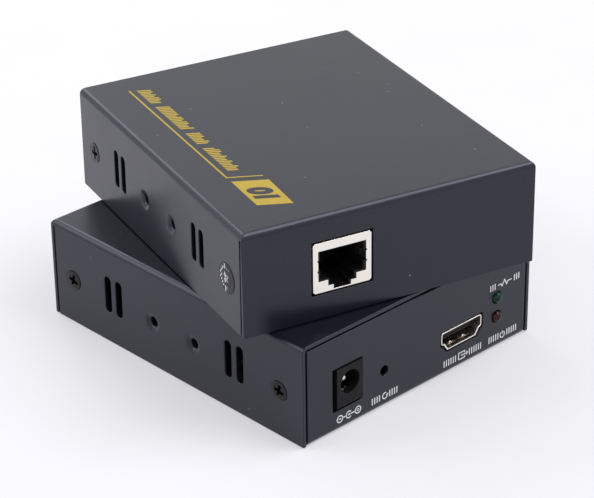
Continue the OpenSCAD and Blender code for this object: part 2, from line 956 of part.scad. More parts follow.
// One row of contacts: along the tongue, out at the back and down to the board
module video_contact_row(count, level, tail) {
    z = video_seat + level + video_contact_t / 2;
    back = video_l + tail;
    path = [
        [video_contact_recess, z], [back, z], [back, video_contact_t / 2],
        [back + video_tail_out, video_contact_t / 2]
    ];
    for (n = [0:count - 1])
        translate([(n - (count - 1) / 2) * video_pitch, 0, 0])
            bent_strip(path, video_contact_t, video_contact_w);
}

module video_socket_contacts() {
    color(gold) at_video_socket() {
        video_contact_row(
            video_upper_count, video_upper_level(), 2 * video_tail_step + video_tail_out
        );
        video_contact_row(video_lower_count, video_lower_level(), video_tail_step);
    }
}

// Power socket

module power_jack_body() {
    spring_slot_y = power_spring_front - power_spring_t;
    color(black_plastic) at_power_socket() difference() {
        union() {
            front_plate(0, power_flange_l) panel_rect(power_w, 0, power_h);
            front_plate(0, power_l) {
                panel_rect(2 * power_barrel_r, 0, power_axis_h);
                translate([0, power_axis_h]) circle(r = power_barrel_r);
            }
        }
        bar_y(-overrun, power_bore_l + overrun, power_bore_d / 2, power_axis_h);
        bar_y(0, power_l + overrun, power_root_r + fit_gap, power_axis_h);
        block(
            [power_spring_slot_w, power_spring_slot_l - spring_slot_y, power_axis_h + overrun],
            [0, (power_spring_slot_l + spring_slot_y) / 2, -overrun]
        );
    }
}

module power_jack_pin() {
    tip_r = power_pin_d / 2;
    color(tin) at_power_socket() {
        bar_y(power_tip_recess + tip_r, power_l - power_tip_recess - tip_r, tip_r, power_axis_h);
        bar_y(power_bore_l, power_l - power_bore_l + power_tab_t / 2, power_root_r, power_axis_h);
        translate([0, power_tip_recess + tip_r, power_axis_h]) sphere(r = tip_r);
        block(
            [power_tab_w, power_tab_t, board_t + lead_out + power_axis_h + power_tab_w / 2],
            [0, power_l + power_tab_t / 2, -board_t - lead_out]
        );
    }
}

module power_jack_spring() {
    bore_floor = power_axis_h - power_bore_d / 2;
    path = [
        [power_spring_tail, -board_t - lead_out], [power_spring_tail, bore_floor - power_spring_t],
        [power_spring_crest, bore_floor + power_spring_rise],
        [power_spring_front, bore_floor]
    ];
    color(tin) at_power_socket() bent_strip(path, power_spring_t, power_spring_w);
}

// Reset switch

module reset_switch_body() {
    y0 = plunger_reach + bracket_t + fit_gap;
    pocket = fit_gap + plunger_flange_t + press_travel + switch_spare;
    color(black_plastic) at_reset_switch() difference() {
        block([switch_w, switch_l, reset_axis_h + switch_w / 2], [0, y0 + switch_l / 2, 0]);
        bar_y(y0 - overrun, pocket + overrun, plunger_flange_r + fit_gap, reset_axis_h);
    }
}

module reset_switch_bracket() {
    face_w = switch_w + 2 * (bracket_t + fit_gap);
    height = reset_axis_h + switch_w / 2;
    color(plated_steel) at_reset_switch() {
        difference() {
            block([face_w, bracket_t, height], [0, plunger_reach + bracket_t / 2, 0]);
            bar_y(
                plunger_reach - overrun, bracket_t + 2 * overrun,
                plunger_d / 2 + slide_gap, reset_axis_h
            );
        }
        for (side = [-1, 1]) {
            x = side * (face_w - bracket_t) / 2;
            block([bracket_t, bracket_side_l, height], [x, plunger_reach + bracket_side_l / 2, 0]);
            block(
                [bracket_t, bracket_leg_w, board_t + lead_out + bracket_leg_w],
                [x, plunger_reach + bracket_leg_y, -board_t - lead_out]
            );
        }
    }
}

module reset_button() {
    flange_y = plunger_reach + bracket_t + fit_gap;
    color(black_plastic) at_reset_switch() {
        bar_y(0, flange_y + plunger_flange_t / 2, plunger_d / 2, reset_axis_h);
        bar_y(flange_y, plunger_flange_t, plunger_flange_r, reset_axis_h);
    }
}

// Indicator lights

function lead_y(back) = light_l + fit_gap + light_holder_t + back;

module light(height) {
    r = light_d / 2;
    at_lights() {
        translate([0, r, height]) sphere(r = r);
        bar_y(r, light_l - r, r, height);
        bar_y(light_l - light_rim_t, light_rim_t, r + light_rim, height);
    }
}

module status_light() {
    color(clear_green) light(low_light_h + light_spacing);
}

module power_light() {
    color(clear_red) light(low_light_h);
}

module light_holder() {
    top = low_light_h + light_spacing + light_holder_over;
    y0 = light_l + fit_gap;
    color(black_plastic) at_lights() difference() {
        block([light_holder_w, light_holder_t, top], [0, y0 + light_holder_t / 2, 0]);
        for (side = [-1, 1], h = [low_light_h, low_light_h + light_spacing])
            block(
                [lead_t + 2 * fit_gap, light_holder_t + 2 * overrun, lead_t + 2 * fit_gap],
                [side * lead_spread, y0 + light_holder_t / 2, h - lead_t / 2 - fit_gap]
            );
    }
}

// The two leads of one light, out at the back of the holder and down through the board
module lead_pair(height, back) {
    for (side = [-1, 1])
        translate([side * lead_spread, 0, 0])
            bent_strip(
                [[light_l, height], [lead_y(back), height], [lead_y(back), -board_t - lead_out]],
                lead_t, lead_t
            );
}

module light_leads() {
    color(tin) at_lights() {
        lead_pair(low_light_h, low_lead_back);
        lead_pair(low_light_h + light_spacing, high_lead_back);
    }
}

// Board components

chip_at = [chip_x_share * board_w, chip_y_share * board_d, board_top_z];

module main_chip() {
    color(black_plastic) block([chip_w, chip_w, chip_t], chip_at);
}

module thermal_pad() {
    pad_w = chip_w * thermal_pad_share;
    color(pad_blue) block([pad_w, pad_w, thermal_pad_t], chip_at + [0, 0, chip_t]);
}

module heat_sink() {
    base_at = chip_at + [0, 0, chip_t + thermal_pad_t];
    pitch = heat_sink_w / (fin_count - 1 + fin_share);
    fin_t = pitch * fin_share;
    color(bare_aluminium) {
        block([heat_sink_w, heat_sink_w, heat_sink_base], base_at);
        for (n = [0:fin_count - 1])
            block(
                [fin_t, heat_sink_w, heat_sink_h],
                base_at + [(n - (fin_count - 1) / 2) * pitch, 0, 0]
            );
    }
}

module support_chips() {
    for (n = [0:len(support_chip_shares) - 1])
        color(n == len(support_chip_shares) - 1 ? tin : black_plastic)
            block(
                support_chip_sizes[n],
                [
                    support_chip_shares[n].x * board_w, support_chip_shares[n].y * board_d,
                    board_top_z
                ]
            );
}

module line_transformer() {
    rear = half_d - network_recess - network_l - transformer_gap;
    color(black_plastic)
        block(transformer_size, [network_x, rear - transformer_size.y / 2, board_top_z]);
}

module capacitor() {
    base_w = capacitor_d + capacitor_base_over;
    color(bare_aluminium) difference() {
        union() {
            block([base_w, base_w, capacitor_base_h], [0, 0, 0]);
            cylinder(h = capacitor_h, d = capacitor_d);
        }
        translate([0, 0, capacitor_groove_z]) rotate_extrude()
            translate([capacitor_d / 2, 0]) circle(r = capacitor_groove);
    }
}

module capacitors() {
    for (share = capacitor_shares)
        translate([share.x * board_w, share.y * board_d, board_top_z]) capacitor();
    at_power_socket()
        for (n = [0, 1])
            translate([
                -capacitor_side,
                power_l + power_tab_t + capacitor_behind + n * capacitor_spacing, 0
            ])
                capacitor();
}

module inductors() {
    for (share = inductor_shares)
        translate([share.x * board_w, share.y * board_d, board_top_z])
            color(seal_grey) linear_extrude(height = inductor_h)
                cut_rect(inductor_w, -inductor_w / 2, inductor_w / 2, inductor_corner);
}

module quality_seal() {
    color(seal_grey) translate([half_w, screw_y, side_hole_z])
        rotate([0, 90, 0]) cylinder(h = seal_t, d = seal_d);
}

// Receiver, the lower unit
receiver() cover();  // receiver_cover
receiver() chassis();  // receiver_chassis
receiver() cover_screws();  // receiver_cover_screws
receiver() board_standoffs();  // receiver_board_standoffs
receiver() board_screws();  // receiver_board_screws
receiver() circuit_board();  // receiver_circuit_board
receiver() network_jack_shield();  // receiver_network_jack_shield
receiver() network_jack_housing();  // receiver_network_jack_housing
receiver() network_jack_contacts();  // receiver_network_jack_contacts
receiver() video_socket_shell();  // receiver_video_socket_shell
receiver() video_socket_tongue();  // receiver_video_socket_tongue
receiver() video_socket_contacts();  // receiver_video_socket_contacts
receiver() power_jack_body();  // receiver_power_jack_body
receiver() power_jack_pin();  // receiver_power_jack_pin
receiver() power_jack_spring();  // receiver_power_jack_spring
receiver() reset_switch_body();  // receiver_reset_switch_body
receiver() reset_switch_bracket();  // receiver_reset_switch_bracket
receiver() reset_button();  // receiver_reset_button
receiver() status_light();  // receiver_status_light
receiver() power_light();  // receiver_power_light
receiver() light_holder();  // receiver_light_holder
receiver() light_leads();  // receiver_light_leads
receiver() main_chip();  // receiver_main_chip
receiver() heat_sink();  // receiver_heat_sink
receiver() thermal_pad();  // receiver_thermal_pad
receiver() support_chips();  // receiver_support_chips
receiver() line_transformer();  // receiver_line_transformer
receiver() capacitors();  // receiver_capacitors
receiver() inductors();  // receiver_inductors

// Transmitter, the upper unit
transmitter() cover();  // transmitter_cover
transmitter() chassis();  // transmitter_chassis
transmitter() cover_screws();  // transmitter_cover_screws
transmitter() board_standoffs();  // transmitter_board_standoffs
transmitter() board_screws();  // transmitter_board_screws
transmitter() circuit_board();  // transmitter_circuit_board
transmitter() network_jack_shield();  // transmitter_network_jack_shield
transmitter() network_jack_housing();  // transmitter_network_jack_housing
transmitter() network_jack_contacts();  // transmitter_network_jack_contacts
transmitter() video_socket_shell();  // transmitter_video_socket_shell
transmitter() video_socket_tongue();  // transmitter_video_socket_tongue
transmitter() video_socket_contacts();  // transmitter_video_socket_contacts
transmitter() power_jack_body();  // transmitter_power_jack_body
transmitter() power_jack_pin();  // transmitter_power_jack_pin
transmitter() power_jack_spring();  // transmitter_power_jack_spring
transmitter() reset_switch_body();  // transmitter_reset_switch_body
transmitter() reset_switch_bracket();  // transmitter_reset_switch_bracket
transmitter() reset_button();  // transmitter_reset_button
transmitter() status_light();  // transmitter_status_light
transmitter() power_light();  // transmitter_power_light
transmitter() light_holder();  // transmitter_light_holder
transmitter() light_leads();  // transmitter_light_leads
transmitter() main_chip();  // transmitter_main_chip
transmitter() heat_sink();  // transmitter_heat_sink
transmitter() thermal_pad();  // transmitter_thermal_pad
transmitter() support_chips();  // transmitter_support_chips
transmitter() line_transformer();  // transmitter_line_transformer
transmitter() capacitors();  // transmitter_capacitors
transmitter() inductors();  // transmitter_inductors
transmitter() quality_seal();  // transmitter_quality_seal
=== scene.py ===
"""A video extender pair: the transmitter lies askew on the receiver.

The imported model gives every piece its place. Here the folded cases, sockets, screws and
lights get their rounded edges, their print and their finishes. Drawing tables are in
millimetres, in a unit's own frame: x across the socket panel, -Y out of it, +Z up.
"""
import json
import math

import bmesh
import bpy
from bpy.props import FloatProperty, FloatVectorProperty, IntProperty, PointerProperty
from mathutils import Matrix, Vector


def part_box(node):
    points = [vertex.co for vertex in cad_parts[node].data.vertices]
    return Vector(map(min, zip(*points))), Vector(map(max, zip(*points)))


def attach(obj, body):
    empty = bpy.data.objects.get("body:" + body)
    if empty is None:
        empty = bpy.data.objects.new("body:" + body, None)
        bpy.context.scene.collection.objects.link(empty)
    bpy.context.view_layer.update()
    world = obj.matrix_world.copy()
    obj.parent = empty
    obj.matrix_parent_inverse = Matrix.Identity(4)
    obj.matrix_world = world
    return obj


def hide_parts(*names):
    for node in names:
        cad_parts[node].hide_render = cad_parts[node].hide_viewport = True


bl_info = {
    "name": "Extender pair",
    "version": (1, 0, 0),
    "blender": (4, 5, 0),
    "location": "View3D > Sidebar > Extender",
    "description": "Dresses a stacked pair of metal-cased extender units",
    "category": "Object",
}

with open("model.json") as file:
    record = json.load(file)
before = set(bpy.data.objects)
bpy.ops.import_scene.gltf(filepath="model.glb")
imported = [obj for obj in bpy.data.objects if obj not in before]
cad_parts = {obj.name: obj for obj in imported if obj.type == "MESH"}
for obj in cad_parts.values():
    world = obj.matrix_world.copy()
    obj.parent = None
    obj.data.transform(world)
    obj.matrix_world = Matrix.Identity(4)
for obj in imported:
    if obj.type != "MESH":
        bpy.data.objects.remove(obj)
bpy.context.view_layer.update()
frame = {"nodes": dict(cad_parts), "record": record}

MM = 0.001
UNITS = ("receiver", "transmitter")
CASE_LOW, CASE_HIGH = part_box("receiver_cover")
CASE_W = CASE_HIGH.x - CASE_LOW.x
CASE_H = CASE_HIGH.z
# how the transmitter lies on the receiver
STACK_TURN = math.radians(164)
STACK_SHIFT = Vector((4.5, -0.3, 28.4)) * MM
# height of the cover screws, and the distance between the two on one side
SIDE_HOLE_Z = 13.1 * MM
SCREW_ROW = 79 * MM
# outer face of the socket panel, and the seal's middle
PANEL_Y = -48.0
SEAL_AT = (41.0, 39.5, 13.1)
# edges that bend by more degrees than this are rounded: on stamped and moulded pieces, and
# on the cases and lights; on the screws and seal they are kept sharp in the shading
FINE_ANGLE, BROAD_ANGLE = 28, 35
# most of a noise's values lie between these two
NOISE_LOW, NOISE_HIGH = 0.3, 0.7


def unit_place(unit):
    """The matrix that puts a unit's own frame in the stack."""
    if unit == "receiver":
        return Matrix.Identity(4)
    return Matrix.Translation(STACK_SHIFT) @ Matrix.Rotation(STACK_TURN, 4, "Z")


def linear(hex_colour):
    """An sRGB hex colour as the linear values that Blender's sockets take."""
    parts = [int(hex_colour[i:i + 2], 16) / 255 for i in (1, 3, 5)]
    return [c / 12.92 if c <= 0.04045 else ((c + 0.055) / 1.055) ** 2.4 for c in parts]


# Settings

class CaseSettings(bpy.types.PropertyGroup):
    coat: FloatVectorProperty(
        name="Powder coat", description="Colour of the coat on both cases",
        subtype="COLOR", default=linear("#12151E"), min=0, max=1)
    edge: FloatProperty(
        name="Edge round", description="Rounding of the cut edges of the coated sheet",
        default=0.17 * MM, min=0, unit="LENGTH")
    peel: FloatProperty(
        name="Coat texture", description="Width of one bump of the coat's texture",
        default=0.55 * MM, min=0, unit="LENGTH")


class FittingSettings(bpy.types.PropertyGroup):
    head: FloatProperty(
        name="Screw head", description="Diameter of a cover screw's head",
        default=5.5 * MM, min=0, unit="LENGTH")
    metal_edge: FloatProperty(
        name="Shield edge", description="Rounding of the sockets' stamped metal",
        default=0.05 * MM, min=0, unit="LENGTH")
    plastic_edge: FloatProperty(
        name="Moulded edge", description="Rounding of the sockets' moulded parts",
        default=0.12 * MM, min=0, unit="LENGTH")
    contacts: IntProperty(
        name="Contacts", description="Number of spring contacts in a network socket",
        default=8, min=1)
    contact_pitch: FloatProperty(
        name="Contact pitch", description="Distance between two neighbouring contacts",
        default=1.016 * MM, min=0, unit="LENGTH")


class PrintSettings(bpy.types.PropertyGroup):
    panel_ink: FloatVectorProperty(
        name="Panel ink", description="Colour of the marks on the socket panels",
        subtype="COLOR", default=linear("#EDEDED"), min=0, max=1)
    top_ink: FloatVectorProperty(
        name="Top ink", description="Colour of the band along the top's edge",
        subtype="COLOR", default=linear("#B5991E"), min=0, max=1)
    thickness: FloatProperty(
        name="Ink thickness", description="How far the ink stands up from the coat",
        default=0.02 * MM, min=0, unit="LENGTH")
    slant: FloatProperty(
        name="Slant", description="Lean of the bars in the top's band",
        default=math.radians(21), subtype="ANGLE")
    seed: IntProperty(
        name="Seed", description="Order of the tall and short bars", default=3, min=0)


class StageSettings(bpy.types.PropertyGroup):
    lens: FloatProperty(
        name="Lens", description="Focal length in millimetres on a 36 mm sensor",
        default=149.78, min=1)
    camera: FloatVectorProperty(
        name="Camera", description="Place of the camera", subtype="TRANSLATION",
        unit="LENGTH", default=(-0.3912, -0.4174, 0.3282))
    turn: FloatProperty(
        name="Turn", description="Direction that the camera looks in, seen from above",
        default=math.radians(-43.365), subtype="ANGLE")
    height: FloatProperty(
        name="Elevation", description="Angle of the camera above the horizon",
        default=math.radians(28.168), subtype="ANGLE")
    roll: FloatProperty(
        name="Roll", description="Roll of the camera about its view",
        default=math.radians(-0.803), subtype="ANGLE")
    surroundings: FloatProperty(
        name="Surroundings", description="Level of the plain white room",
        default=0.59, min=0)


# Nodes

def feed(tree, socket, value):
    """Gives an input a value, or a link from a socket or from a node's first output."""
    if isinstance(value, bpy.types.Node):
        value = [s for s in value.outputs if s.enabled][0]
    if isinstance(value, bpy.types.NodeSocket):
        tree.links.new(value, socket)
    else:
        socket.default_value = value


def add(tree, kind, inputs=None, **settings):
    """Adds a node with its settings and feeds its inputs."""
    node = tree.nodes.new(kind)
    for name, value in settings.items():
        setattr(node, name, value)
    for name, value in (inputs or {}).items():
        feed(tree, node.inputs[name], value)
    return node


# Materials

def new_material(name, colour, roughness, metallic=0.0, ior=1.5, specular=0.5):
    """A material with one surface shader."""
    made = bpy.data.materials.new(name)
    made.use_nodes = True
    tree = made.node_tree
    tree.nodes.clear()
    shader = add(tree, "ShaderNodeBsdfPrincipled", {
        "Base Color": (*colour[:3], 1), "Roughness": roughness, "Metallic": metallic,
        "IOR": ior, "Specular IOR Level": specular})
    add(tree, "ShaderNodeOutputMaterial", {"Surface": shader})
    return made


def surface(made):
    """A material's tree and its surface shader."""
    tree = made.node_tree
    return tree, [n for n in tree.nodes if n.type == "BSDF_PRINCIPLED"][0]


def weather(made, size, detail, stretch=None, gloss=None, depth=None, colours=None):
    """Lays an uneven pattern over a material, with features of this real width. It
    spreads the roughness over gloss, stands up by depth and mixes the two colours. A
    stretch below 1 along an axis draws the features out into lines."""
    tree, shader = surface(made)
    place = add(tree, "ShaderNodeTexCoord").outputs["Object"]
    if stretch:
        place = add(tree, "ShaderNodeMapping", {"Vector": place, "Scale": stretch})
    pattern = add(tree, "ShaderNodeTexNoise", {
        "Vector": place, "Scale": 1 / size, "Detail": detail})
    if gloss:
        rough = add(tree, "ShaderNodeMapRange", {
            "Value": pattern, "From Min": NOISE_LOW, "From Max": NOISE_HIGH,
            "To Min": gloss[0], "To Max": gloss[1]})
        feed(tree, shader.inputs["Roughness"], rough)
    if depth:
        raised = add(tree, "ShaderNodeBump", {"Height": pattern, "Distance": depth})
        feed(tree, shader.inputs["Normal"], raised)
    if colours:
        share = add(tree, "ShaderNodeMapRange", {
            "Value": pattern, "From Min": NOISE_LOW, "From Max": NOISE_HIGH})
        mixed = add(tree, "ShaderNodeMixRGB", {
            "Fac": share, "Color1": (*colours[0], 1), "Color2": (*colours[1], 1)})
        feed(tree, shader.inputs["Base Color"], mixed)


def overlay(made, mask, colour):
    """Covers the base colour, or its pattern, with another where the mask is one."""
    tree, shader = surface(made)
    base = shader.inputs["Base Color"]
    under = base.links[0].from_socket if base.links else base.default_value[:]
    mixed = add(tree, "ShaderNodeMixRGB", {
        "Fac": mask, "Color1": under, "Color2": (*colour, 1)})
    feed(tree, base, mixed)


def shade(colour, factor):
    """The same colour, lighter or darker."""
    return [min(1.0, c * factor) for c in colour[:3]]


def powder_coat():
    """Baked polyester powder on steel: satin, with a fine, soft, pebbled texture that
    blurs reflections, a slight unevenness of gloss and a few pale specks of dust."""
    case = bpy.context.scene.extender_case
    made = new_material("satin powder coat", case.coat, 0.3, specular=0.47)
    tree, shader = surface(made)
    shader.inputs["Specular Tint"].default_value = (*linear("#EFF1FF"), 1)
    weather(made, size=30 * MM, detail=1, gloss=(0.25, 0.31))
    weather(made, size=case.peel, detail=3, depth=0.012 * MM,
            colours=(shade(case.coat, 0.86), shade(case.coat, 1.14)))
    # specks of dust 7 mm apart: only a cell whose middle lies in the surface shows one
    cells = add(tree, "ShaderNodeTexVoronoi", {
        "Vector": add(tree, "ShaderNodeTexCoord").outputs["Object"],
        "Scale": 1 / (7 * MM)})
    specks = add(tree, "ShaderNodeMapRange", {
        "Value": cells, "From Min": 0.02, "From Max": 0.034, "To Min": 1, "To Max": 0})
    overlay(made, specks, linear("#8A8C92"))
    return made


def black_zinc():
    """Black passivated zinc on steel: dark and half glossy, with fine grime in it."""
    made = new_material("black zinc", linear("#303033"), 0.34, metallic=1.0)
    weather(made, size=0.3 * MM, detail=2, depth=0.01 * MM)
    weather(made, size=1.2 * MM, detail=1, gloss=(0.26, 0.42))
    return made


def nickel_plate():
    """Satin nickel on stamped steel: a warm bright metal with faint rolling lines."""
    # the real lines are 0.03 mm apart: drawn coarser, so that they show
    made = new_material("satin nickel plate", linear("#F0EAE2"), 0.28, metallic=1.0)
    weather(made, size=0.2 * MM, detail=1, stretch=(0.1, 1, 1),
            gloss=(0.24, 0.34), depth=0.004 * MM)
    return made


def tin_plate():
    """Bright tin on brass or copper: a cool, soft shine with small dull patches."""
    made = new_material("bright tin plate", linear("#CFCFCE"), 0.24, metallic=1.0)
    weather(made, size=0.6 * MM, detail=2, gloss=(0.18, 0.34))
    return made


def brass():
    """Turned brass: yellow metal with the fine rings of the lathe tool."""
    # the real rings are 0.05 mm apart: drawn coarser, so that they show
    made = new_material("turned brass", linear("#C9A15A"), 0.3, metallic=1.0)
    weather(made, size=0.15 * MM, detail=1, stretch=(0.1, 0.1, 1), depth=0.004 * MM)
    return made


def gold_plate():
    """Thin gold on phosphor bronze: warm and smooth, slightly uneven."""
    made = new_material("gold plate", linear("#E0B45C"), 0.22, metallic=1.0)
    weather(made, size=0.4 * MM, detail=1, gloss=(0.16, 0.3))
    return made


def black_nylon():
    """Moulded glass-filled nylon: deep black with a fine matt mould grain."""
    # the real grain is 0.08 mm wide: drawn coarser, so that it shows
    made = new_material(
        "moulded black nylon", linear("#0E0E10"), 0.52, ior=1.53, specular=0.17)
    weather(made, size=0.25 * MM, detail=3, depth=0.01 * MM)
    weather(made, size=2 * MM, detail=1, gloss=(0.46, 0.6))
    return made


def lens_epoxy(name, deep, clear):
    """Tinted cast epoxy: a glossy skin over a lens with faint darker streaks."""
    made = new_material(name, linear(clear), 0.08, ior=1.54, specular=0.24)
    weather(made, size=0.9 * MM, detail=1, colours=(linear(deep), linear(clear)))
    return made


def solder_mask():
    """Green solder mask over etched copper: glossy, with the tracks just showing."""
    made = new_material("green solder mask", linear("#174A2E"), 0.25)
    tree, shader = surface(made)
    tracks = add(tree, "ShaderNodeTexVoronoi", {
        "Vector": add(tree, "ShaderNodeTexCoord").outputs["Object"],
        "Scale": 1 / (2.2 * MM)}, feature="DISTANCE_TO_EDGE", distance="MANHATTAN")
    copper = add(tree, "ShaderNodeMapRange", {
        "Value": tracks, "From Min": 0.06, "From Max": 0.1, "To Min": 1, "To Max": 0})
    overlay(made, copper, linear("#2C6B42"))
    raised = add(tree, "ShaderNodeBump", {"Height": copper, "Distance": 0.03 * MM})
    feed(tree, shader.inputs["Normal"], raised)
    return made


def chip_epoxy():
    """Moulded epoxy of chip packages: dark grey and matt, with an even sandy grain."""
    # the real grain is 0.03 mm wide: drawn coarser, so that it shows
    made = new_material("moulded chip epoxy", linear("#232426"), 0.6)
    weather(made, size=0.12 * MM, detail=2, depth=0.006 * MM)
    return made


def bare_aluminium():
    """Extruded aluminium: pale grey, brushed along one way by the die."""
    # the real die lines are 0.05 mm apart: drawn coarser, so that they show
    made = new_material("extruded aluminium", linear("#BFC1C4"), 0.34, metallic=1.0)
    weather(made, size=0.2 * MM, detail=2, stretch=(1, 0.06, 1),
            gloss=(0.28, 0.42), depth=0.006 * MM)
    return made


def silicone_pad():
    """Filled silicone: a soft, dull grey-blue pad with coarse filler in it."""
    # the real filler is 0.05 mm wide: drawn coarser, so that it shows
    made = new_material("filled silicone pad", linear("#7D8EA6"), 0.75)
    weather(made, size=0.2 * MM, detail=2,
            colours=(linear("#74859D"), linear("#8A9AB0")))
    return made


def ferrite():
    """Sintered ferrite: charcoal, dry and slightly rough."""
    # the real grain is 0.02 mm wide: drawn coarser, so that it shows
    made = new_material("sintered ferrite", linear("#3F4044"), 0.7)
    weather(made, size=0.18 * MM, detail=3, depth=0.012 * MM)
    return made


def seal_foil():
    """Printed vinyl foil: satin dark grey, with a whitish hatch across its middle."""
    made = new_material("printed seal foil", linear("#26272B"), 0.5, specular=0.3)
    weather(made, size=0.5 * MM, detail=2, depth=0.02 * MM)
    tree = made.node_tree
    centre = unit_place("transmitter") @ (Vector(SEAL_AT) * MM)
    # turned so that y runs across the foil's face and z up it
    turned = add(tree, "ShaderNodeMapping", {
        "Vector": add(tree, "ShaderNodeTexCoord").outputs["Object"], "Location": centre,
        "Rotation": (0, 0, STACK_TURN)}, vector_type="TEXTURE")
    parts = add(tree, "ShaderNodeSeparateXYZ", {"Vector": turned})
    across, up = parts.outputs["Y"], parts.outputs["Z"]
    soft_edge, pitch = 0.1 * MM, 0.98 * MM

    def off(lean, shift=0.0):
        """The distance from a leaning line that passes this far beside the middle."""
        line = add(tree, "ShaderNodeMath", {
            0: up, 1: -lean, 2: across}, operation="MULTIPLY_ADD")
        return add(tree, "ShaderNodeMath", {0: line, 1: -shift}, operation="ADD")

    def within(value, reach):
        """One where the value lies closer to zero than this, with a soft edge."""
        size = add(tree, "ShaderNodeMath", {0: value}, operation="ABSOLUTE")
        return add(tree, "ShaderNodeMapRange", {
            "Value": size, "From Min": reach - soft_edge, "From Max": reach + soft_edge,
            "To Min": 1, "To Max": 0})

    def hatch(lean):
        """Leaning bars, one to each pitch."""
        angle = add(tree, "ShaderNodeMath", {
            0: off(lean), 1: 2 * math.pi / pitch}, operation="MULTIPLY")
        wave = add(tree, "ShaderNodeMath", {0: angle}, operation="SINE")
        return add(tree, "ShaderNodeMapRange", {
            "Value": wave, "From Min": -0.6, "From Max": 0.2})

    def shared(masks):
        """One where all the masks are one."""
        area = masks[0]
        for mask in masks[1:]:
            area = add(tree, "ShaderNodeMath", {0: area, 1: mask}, operation="MULTIPLY")
        return area

    # the hatch keeps to a leaning band inside the rim, with one long stroke through it
    middle = add(tree, "ShaderNodeVectorMath", {0: turned}, operation="LENGTH")
    weave = shared([
        within(off(0.15, -1.4 * MM), 2.2 * MM), within(up, 2.7 * MM),
        within(middle.outputs["Value"], 3.5 * MM), hatch(-0.8), hatch(0.8)])
    long_stroke = shared([within(off(-0.06, -0.7 * MM), 0.2 * MM), within(up, 3.7 * MM)])
    ink = add(tree, "ShaderNodeMath", {0: weave, 1: long_stroke}, operation="MAXIMUM")
    overlay(made, ink, linear("#DEDEE0"))
    return made


def screen_ink(name, colour):
    """Screen-printed ink: flat, slightly matt, with a thin and uneven film."""
    made = new_material(name, colour, 0.45)
    weather(made, size=0.5 * MM, detail=2,
            colours=(shade(colour, 0.9), shade(colour, 1.05)))
    return made


# the finish of each material slot, and of each ink
FINISHES = {
    "powder_coat": powder_coat,
    "black_zinc": black_zinc,
    "brass": brass,
    "tin": tin_plate,
    "solder_mask": solder_mask,
    "plated_shield": nickel_plate,
    "black_plastic": black_nylon,
    "gold": gold_plate,
    "green_lens": lambda: lens_epoxy("green epoxy", "#00190F", "#02412A"),
    "red_lens": lambda: lens_epoxy("red epoxy", "#160202", "#360706"),
    "chip_epoxy": chip_epoxy,
    "bare_aluminium": bare_aluminium,
    "thermal_pad": silicone_pad,
    "ferrite": ferrite,
    "seal_foil": seal_foil,
    "panel_ink": lambda: screen_ink(
        "white panel ink", bpy.context.scene.extender_print.panel_ink),
    "top_ink": lambda: screen_ink(
        "yellow top ink", bpy.context.scene.extender_print.top_ink),
    "case_ink": lambda: screen_ink(
        "charcoal top ink", bpy.context.scene.extender_case.coat),
}
made_finishes = {}


def finish(name):
    """The material of this name, made the first time it is asked for."""
    if name not in made_finishes:
        made_finishes[name] = FINISHES[name]()
    return made_finishes[name]


# Meshes

def link(name, data):
    """A new object in the scene, at the origin, with this mesh, curve, lamp or camera."""
    made = bpy.data.objects.new(name, data)
    bpy.context.scene.collection.objects.link(made)
    return made


def evaluated(obj):
    """A plain mesh of the object as its modifiers or its curve make it."""
    graph = bpy.context.evaluated_depsgraph_get()
    graph.update()
    return bpy.data.meshes.new_from_object(
        obj.evaluated_get(graph), preserve_all_data_layers=True, depsgraph=graph)


def settle(obj):
    """Makes the modifiers' result the object's own mesh."""
    mesh = evaluated(obj)
    obj.modifiers.clear()
    obj.data = mesh
    return mesh


def as_mesh(name, bm):
    """A new mesh of what was built, which is then freed."""
    mesh = bpy.data.meshes.new(name)
    bm.to_mesh(mesh)
    bm.free()
    return mesh


def dress(obj, unit, material, slot, *nodes):
    """Gives a finished piece its material and body, and hides what it stands for. The slot
    is not used.
    """
    obj.data.materials.clear()
    obj.data.materials.append(finish(material))
    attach(obj, unit)
    if nodes:
        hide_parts(*nodes)


def merged_copy(node, name):
    """A copy of a node's mesh with its loose triangles joined into whole faces."""
    weld, flat_angle = 0.002 * MM, math.radians(0.6)
    source = frame["nodes"][node].data
    mesh = bpy.data.meshes.new(name)
    mesh.from_pydata(
        [v.co for v in source.vertices], [], [list(p.vertices) for p in source.polygons])
    bm = bmesh.new()
    bm.from_mesh(mesh)
    bmesh.ops.remove_doubles(bm, verts=bm.verts, dist=weld)
    bmesh.ops.dissolve_limit(
        bm, angle_limit=flat_angle, verts=bm.verts, edges=bm.edges, delimit=set())
    bm.to_mesh(mesh)
    bm.free()
    return link(name, mesh)


def smooth(mesh, angle):
    """Smooth shading, but for the edges that bend by more than this many degrees."""
    mesh.shade_smooth()
    mesh.set_sharp_from_angle(angle=math.radians(angle))


def soften(obj, width, angle):
    """Rounds the sharp edges and keeps the broad faces flat to the eye."""
    smooth(obj.data, angle)
    round_edges = obj.modifiers.new("edges", "BEVEL")
    round_edges.width = width
    round_edges.segments = 2
    round_edges.limit_method = "ANGLE"
    round_edges.angle_limit = math.radians(angle)
    round_edges.use_clamp_overlap = False
    flat = obj.modifiers.new("flats", "WEIGHTED_NORMAL")
    flat.keep_sharp = True
    flat.weight = 80
    settle(obj)


def refine(unit, part, name, slot, width, angle=FINE_ANGLE):
    """Puts a copy with rounded edges and its finish in a CAD piece's place."""
    piece = merged_copy(unit + "_" + part, unit + "_" + name)
    soften(piece, width, angle)
    dress(piece, unit, slot, slot, unit + "_" + part)


def joined(name, meshes):
    """One object from several meshes, which are used up."""
    bm = bmesh.new()
    for mesh in meshes:
        bm.from_mesh(mesh)
        bpy.data.meshes.remove(mesh)
    return link(name, as_mesh(name, bm))


